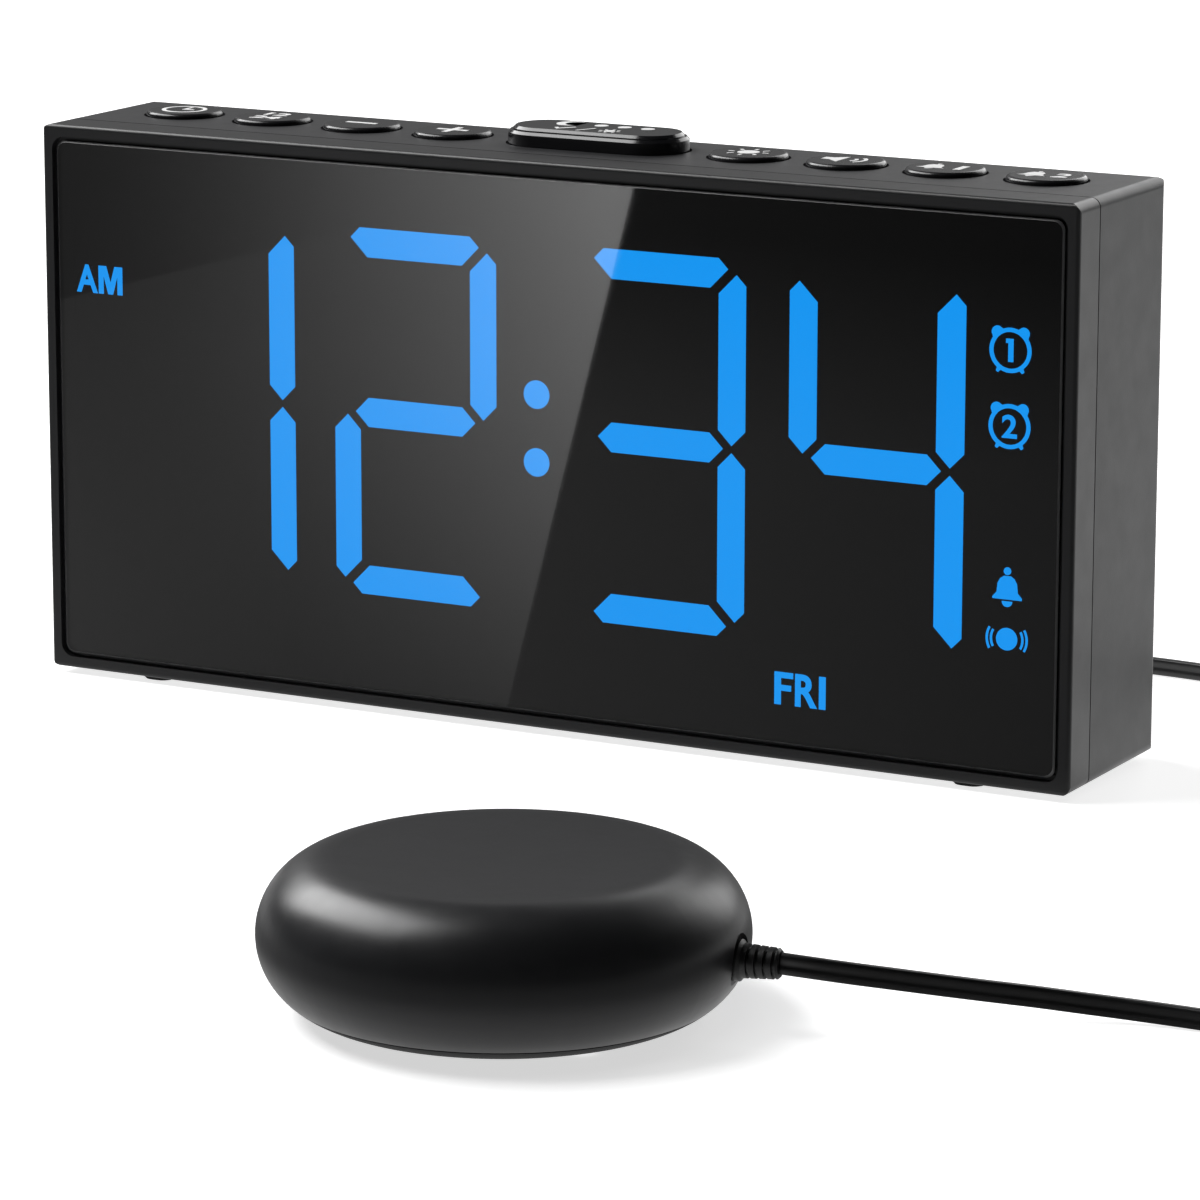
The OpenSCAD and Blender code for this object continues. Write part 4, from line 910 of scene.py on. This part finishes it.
class BEDSIDE_OT_casing(bpy.types.Operator):
    """Finishes the front frame, the rear housing, the feet and what is inside them"""
    bl_idname = "bedside.casing"
    bl_label = "Casing"

    def execute(self, context):
        settings = context.scene.bedside_casing
        wear(moulded("frame_satin", settings.frame_colour, 0.38, 0.000008), "front_frame")
        wear(moulded("housing_satin", settings.housing_colour, 0.42), "rear_housing", "battery_door")
        wear(Finish("foot_rubber", (0.01, 0.01, 0.01), 0.75).mottle(200.0, 0.2).grain(1500.0, 0.00003),
             "rubber_feet")
        wear(polished("board_lacquer", (0.01, 0.09, 0.035), 0.3), "display_board", "main_board", "key_board")
        wear(metal("switch_steel", (0.55, 0.56, 0.57), 0.34), "key_switches", "board_screws")
        self.screws(settings.screw_head)
        wear(polished("basket_paint", (0.05, 0.05, 0.055), 0.35), "speaker_basket")
        wear(moulded("cone_paper", (0.02, 0.02, 0.022), 0.8, 0.00004, 1200.0), "speaker_cone")
        wear(moulded("socket_black", (0.01, 0.01, 0.011), 0.4), "power_socket", "shaker_socket")
        wear(metal("port_steel", (0.6, 0.61, 0.63), 0.25), "usb_port")
        wear(moulded("ribbon_grey", (0.35, 0.37, 0.4), 0.45), "ribbon_cables")
        wear(metal("cell_steel", (0.62, 0.62, 0.63), 0.28), "backup_cell")
        wear(metal("contact_brass", (0.65, 0.52, 0.26), 0.3), "cell_contacts")
        return {"FINISHED"}

    def screws(self, head):
        """The four casing screws, in the places of the frame's."""
        zinc = metal("screw_zinc", (0.42, 0.42, 0.43), 0.32)
        low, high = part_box("casing_screws")
        head_height, inset = 0.002, 0.0027
        places = [(x, high[1] - head_height, z) for x in (low[0] + inset, high[0] - inset)
                  for z in (low[2] + inset, high[2] - inset)]
        screws = finish_piece(
            screw_tree().grow(places, turn=(-math.pi / 2, 0.0, 0.0), head_diameter=head,
                              head_height=head_height, shank_diameter=0.0029,
                              shank_length=high[1] - head_height - low[1],
                              recess_length=head * 0.52, finish=zinc.material),
            "housing_screws", zinc, "clock", 30)
        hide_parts("casing_screws")


KEYS = ("time", "format", "minus", "plus", "summer", "volume", "alarm_one", "alarm_two")


def on_top_of(node, size=1.0):
    """Turns (u, v, depth) in millimetres into a frame point just over a node, u and v scaled by size."""
    clear = 0.004
    low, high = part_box(node)
    middle = Vector(((low[0] + high[0]) / 2, (low[1] + high[1]) / 2, high[2]))
    return lambda u, v, w: middle + Vector((u * size, v * size, w + clear)) * MM


def sun_mark(plates, u, v, r):
    plates.add(disc(u, v, r, 24))
    for degrees in range(0, 360, 45):
        plates.add(bar(*on_circle(u, v, 1.4 * r, degrees), *on_circle(u, v, 2.0 * r, degrees), 0.4))


def draw_key_mark(plates, name):
    if name == "time":
        plates.add(disc(0, 0, 3.1), hole=disc(0, 0, 2.55))
        plates.add(bar(0, -0.25, 0, 2.15, 0.5))
        plates.add(bar(0.25, 0, 1.5, 0, 0.5))
    elif name == "format":
        plates.letter("12", 3.6, 2.3, 0.1, 0.0, 1.7)
        plates.letter("24", 4.2, 2.3, 0.1, 0.0, -1.5)
    elif name in ("minus", "plus"):
        plates.add(bar(-2.3, 0, 2.3, 0, 0.9))
        if name == "plus":
            plates.add(bar(0, 0.45, 0, 2.3, 0.9))
            plates.add(bar(0, -2.3, 0, -0.45, 0.9))
    elif name == "summer":
        sun_mark(plates, 0, 0, 1.45)
    elif name == "volume":
        plates.add([(-3.2, -0.8), (-2.0, -0.8), (-0.4, -2.2), (-0.4, 2.2), (-2.0, 0.8), (-3.2, 0.8)])
        for r in (1.2, 2.4):
            plates.add(arc_band(0.2, 0, r, 0.5, -48, 48))
    else:
        bell_sign(plates, -1.6, 0.1, [(1.9, -1.5), (1.3, -0.8), (1.15, 0.5), (0.7, 1.3)],
                  (1.75, 0.3, 12), (1.7, 0.3, 6))
        number, width = {"alarm_one": ("1", 1.0), "alarm_two": ("2", 2.1)}[name]
        plates.letter(number, width, 3.3, 0.14, 2.2, 0.0)


def draw_snooze_mark(plates):
    """A moon and three dots, with a tick and a small sun below them."""
    plates.add([on_circle(-6.2, 2.2, 2.5, a) for a in range(50, 311, 10)]
               + [on_circle(-5.1, 2.2, 2.0, a) for a in range(290, 69, -10)])
    for u in (-0.6, 3.7, 8.0):
        plates.add(disc(u, 2.2, 1.15, 24))
    plates.add([(-6.6, -2.9), (-5.4, -4.4), (-3.2, -1.6), (-3.8, -1.2), (-5.5, -3.4), (-6.1, -2.5)])
    plates.add(bar(-1.7, -4.6, 0.1, -1.2, 0.5))
    sun_mark(plates, 3.6, -2.9, 0.95)


class BEDSIDE_OT_keys(bpy.types.Operator):
    """Finishes the keys and the snooze bar and prints their marks"""
    bl_idname = "bedside.keys"
    bl_label = "Keys"

    def execute(self, context):
        settings = context.scene.bedside_casing
        depth = settings.mark_depth / MM
        white = Finish("mark_paint", settings.mark_colour, 0.5).mottle(400.0, 0.03).uneven(500.0, 0.45, 0.6)
        wear(moulded("key_gloss", settings.key_colour, 0.25, 0.000003), *(name + "_button" for name in KEYS))
        wear(polished("snooze_gloss", (0.012, 0.012, 0.0135), 0.15), "snooze_bar")
        wear(moulded("plunger_nylon", (0.7, 0.7, 0.68), 0.45), "snooze_plungers",
             *(name + "_plunger" for name in KEYS))
        for name in KEYS:
            plates = Plates(on_top_of(name + "_button", settings.mark_size), depth)
            draw_key_mark(plates, name)
            mark = finish_piece(plates.mesh(), name + "_mark", white, name + "_key")
        plates = Plates(on_top_of("snooze_bar"), depth)
        draw_snooze_mark(plates)
        mark = finish_piece(plates.mesh(), "snooze_mark", white, "snooze_key")
        return {"FINISHED"}


class BEDSIDE_OT_shaker(bpy.types.Operator):
    """Finishes the shaker, its motor and its leads"""
    bl_idname = "bedside.shaker"
    bl_label = "Shaker"

    def execute(self, context):
        settings = context.scene.bedside_shaker
        wear(moulded("shaker_satin", settings.shell_colour, 0.34, 0.000004, 3200.0), "shaker_shell")
        # The base is a darker, matter plastic than the shell. Its dark colour also paints the shade along the
        # shaker's foot, where it meets the table.
        wear(moulded("base_satin", (0.006, 0.006, 0.0065), 0.6, specular=0.15), "shaker_base")
        self.screws()
        wear(metal("can_steel", (0.55, 0.56, 0.58), 0.26), "motor_can")
        wear(metal("clamp_steel", (0.5, 0.51, 0.52), 0.3), "motor_clamp")
        wear(metal("shaft_steel", (0.62, 0.63, 0.64), 0.18), "motor_shaft")
        wear(metal("weight_brass", (0.55, 0.42, 0.22), 0.34), "eccentric_weight")
        wear(moulded("end_cap_nylon", (0.72, 0.7, 0.62), 0.45), "motor_end_cap")
        wear(Finish("lead_red", (0.42, 0.02, 0.015), 0.4).mottle(120.0, 0.08).uneven(300.0, 0.35, 0.5),
             "motor_leads")
        return {"FINISHED"}

    def screws(self):
        """The three screws under the base and the two of the motor's clamp."""
        zinc = metal("shaker_screw_zinc", (0.42, 0.42, 0.43), 0.32)
        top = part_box("shaker_screws")[1][2]
        middle = at_clock(*SHAKER)
        sole = 0.0012
        under = [(*on_circle(middle.x, middle.y, 0.02365, angle), sole) for angle in (100, 235, 325)]
        inside = [(*on_circle(middle.x + 0.00296, middle.y + 0.00052, side * 0.013, 100), 0.0065)
                  for side in (-1, 1)]
        tree = screw_tree()
        screws = finish_piece(
            joined(tree.grow(under, turn=(math.pi, 0.0, 0.0), head_diameter=0.0049, head_height=0.00095,
                             shank_diameter=0.0026, shank_length=top - sole, recess_length=0.0026,
                             recess_width=0.0006, recess_depth=0.0012, finish=zinc.material),
                   tree.grow(inside, head_diameter=0.0036, head_height=0.0012, shank_diameter=0.0017,
                             shank_length=0.0039, recess_length=0.002, recess_width=0.0005,
                             finish=zinc.material)),
            "shell_screws", zinc, "clock", 30)
        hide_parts("shaker_screws")


class BEDSIDE_PT_panel(bpy.types.Panel):
    """Shows the buttons that dress the clock and the shaker, and their settings"""
    bl_idname = "BEDSIDE_PT_panel"
    bl_label = "Bedside"
    bl_space_type = "VIEW_3D"
    bl_region_type = "UI"
    bl_category = "Bedside"

    def draw(self, context):
        layout = self.layout
        for operator in OPERATORS:
            layout.operator(operator.bl_idname)
        for group in SETTINGS:
            for prop in group.__annotations__:
                layout.prop(getattr(context.scene, SETTINGS[group]), prop)


OPERATORS = (BEDSIDE_OT_stage, BEDSIDE_OT_cord, BEDSIDE_OT_display, BEDSIDE_OT_casing,
             BEDSIDE_OT_keys, BEDSIDE_OT_shaker)
SETTINGS = {BedsideDisplaySettings: "bedside_display", BedsideCasingSettings: "bedside_casing",
            BedsideShakerSettings: "bedside_shaker", BedsideStageSettings: "bedside_stage"}


def register():
    for group, name in SETTINGS.items():
        bpy.utils.register_class(group)
        setattr(bpy.types.Scene, name, PointerProperty(type=group))
    for operator in OPERATORS:
        bpy.utils.register_class(operator)
    bpy.utils.register_class(BEDSIDE_PT_panel)


def unregister():
    bpy.utils.unregister_class(BEDSIDE_PT_panel)
    for operator in reversed(OPERATORS):
        bpy.utils.unregister_class(operator)
    for group, name in SETTINGS.items():
        delattr(bpy.types.Scene, name)
        bpy.utils.unregister_class(group)


def main():
    register()
    bpy.ops.bedside.stage()
    bpy.ops.bedside.cord()
    bpy.ops.bedside.display()
    bpy.ops.bedside.casing()
    bpy.ops.bedside.keys()
    bpy.ops.bedside.shaker()


if __name__ == "__main__":
    main()
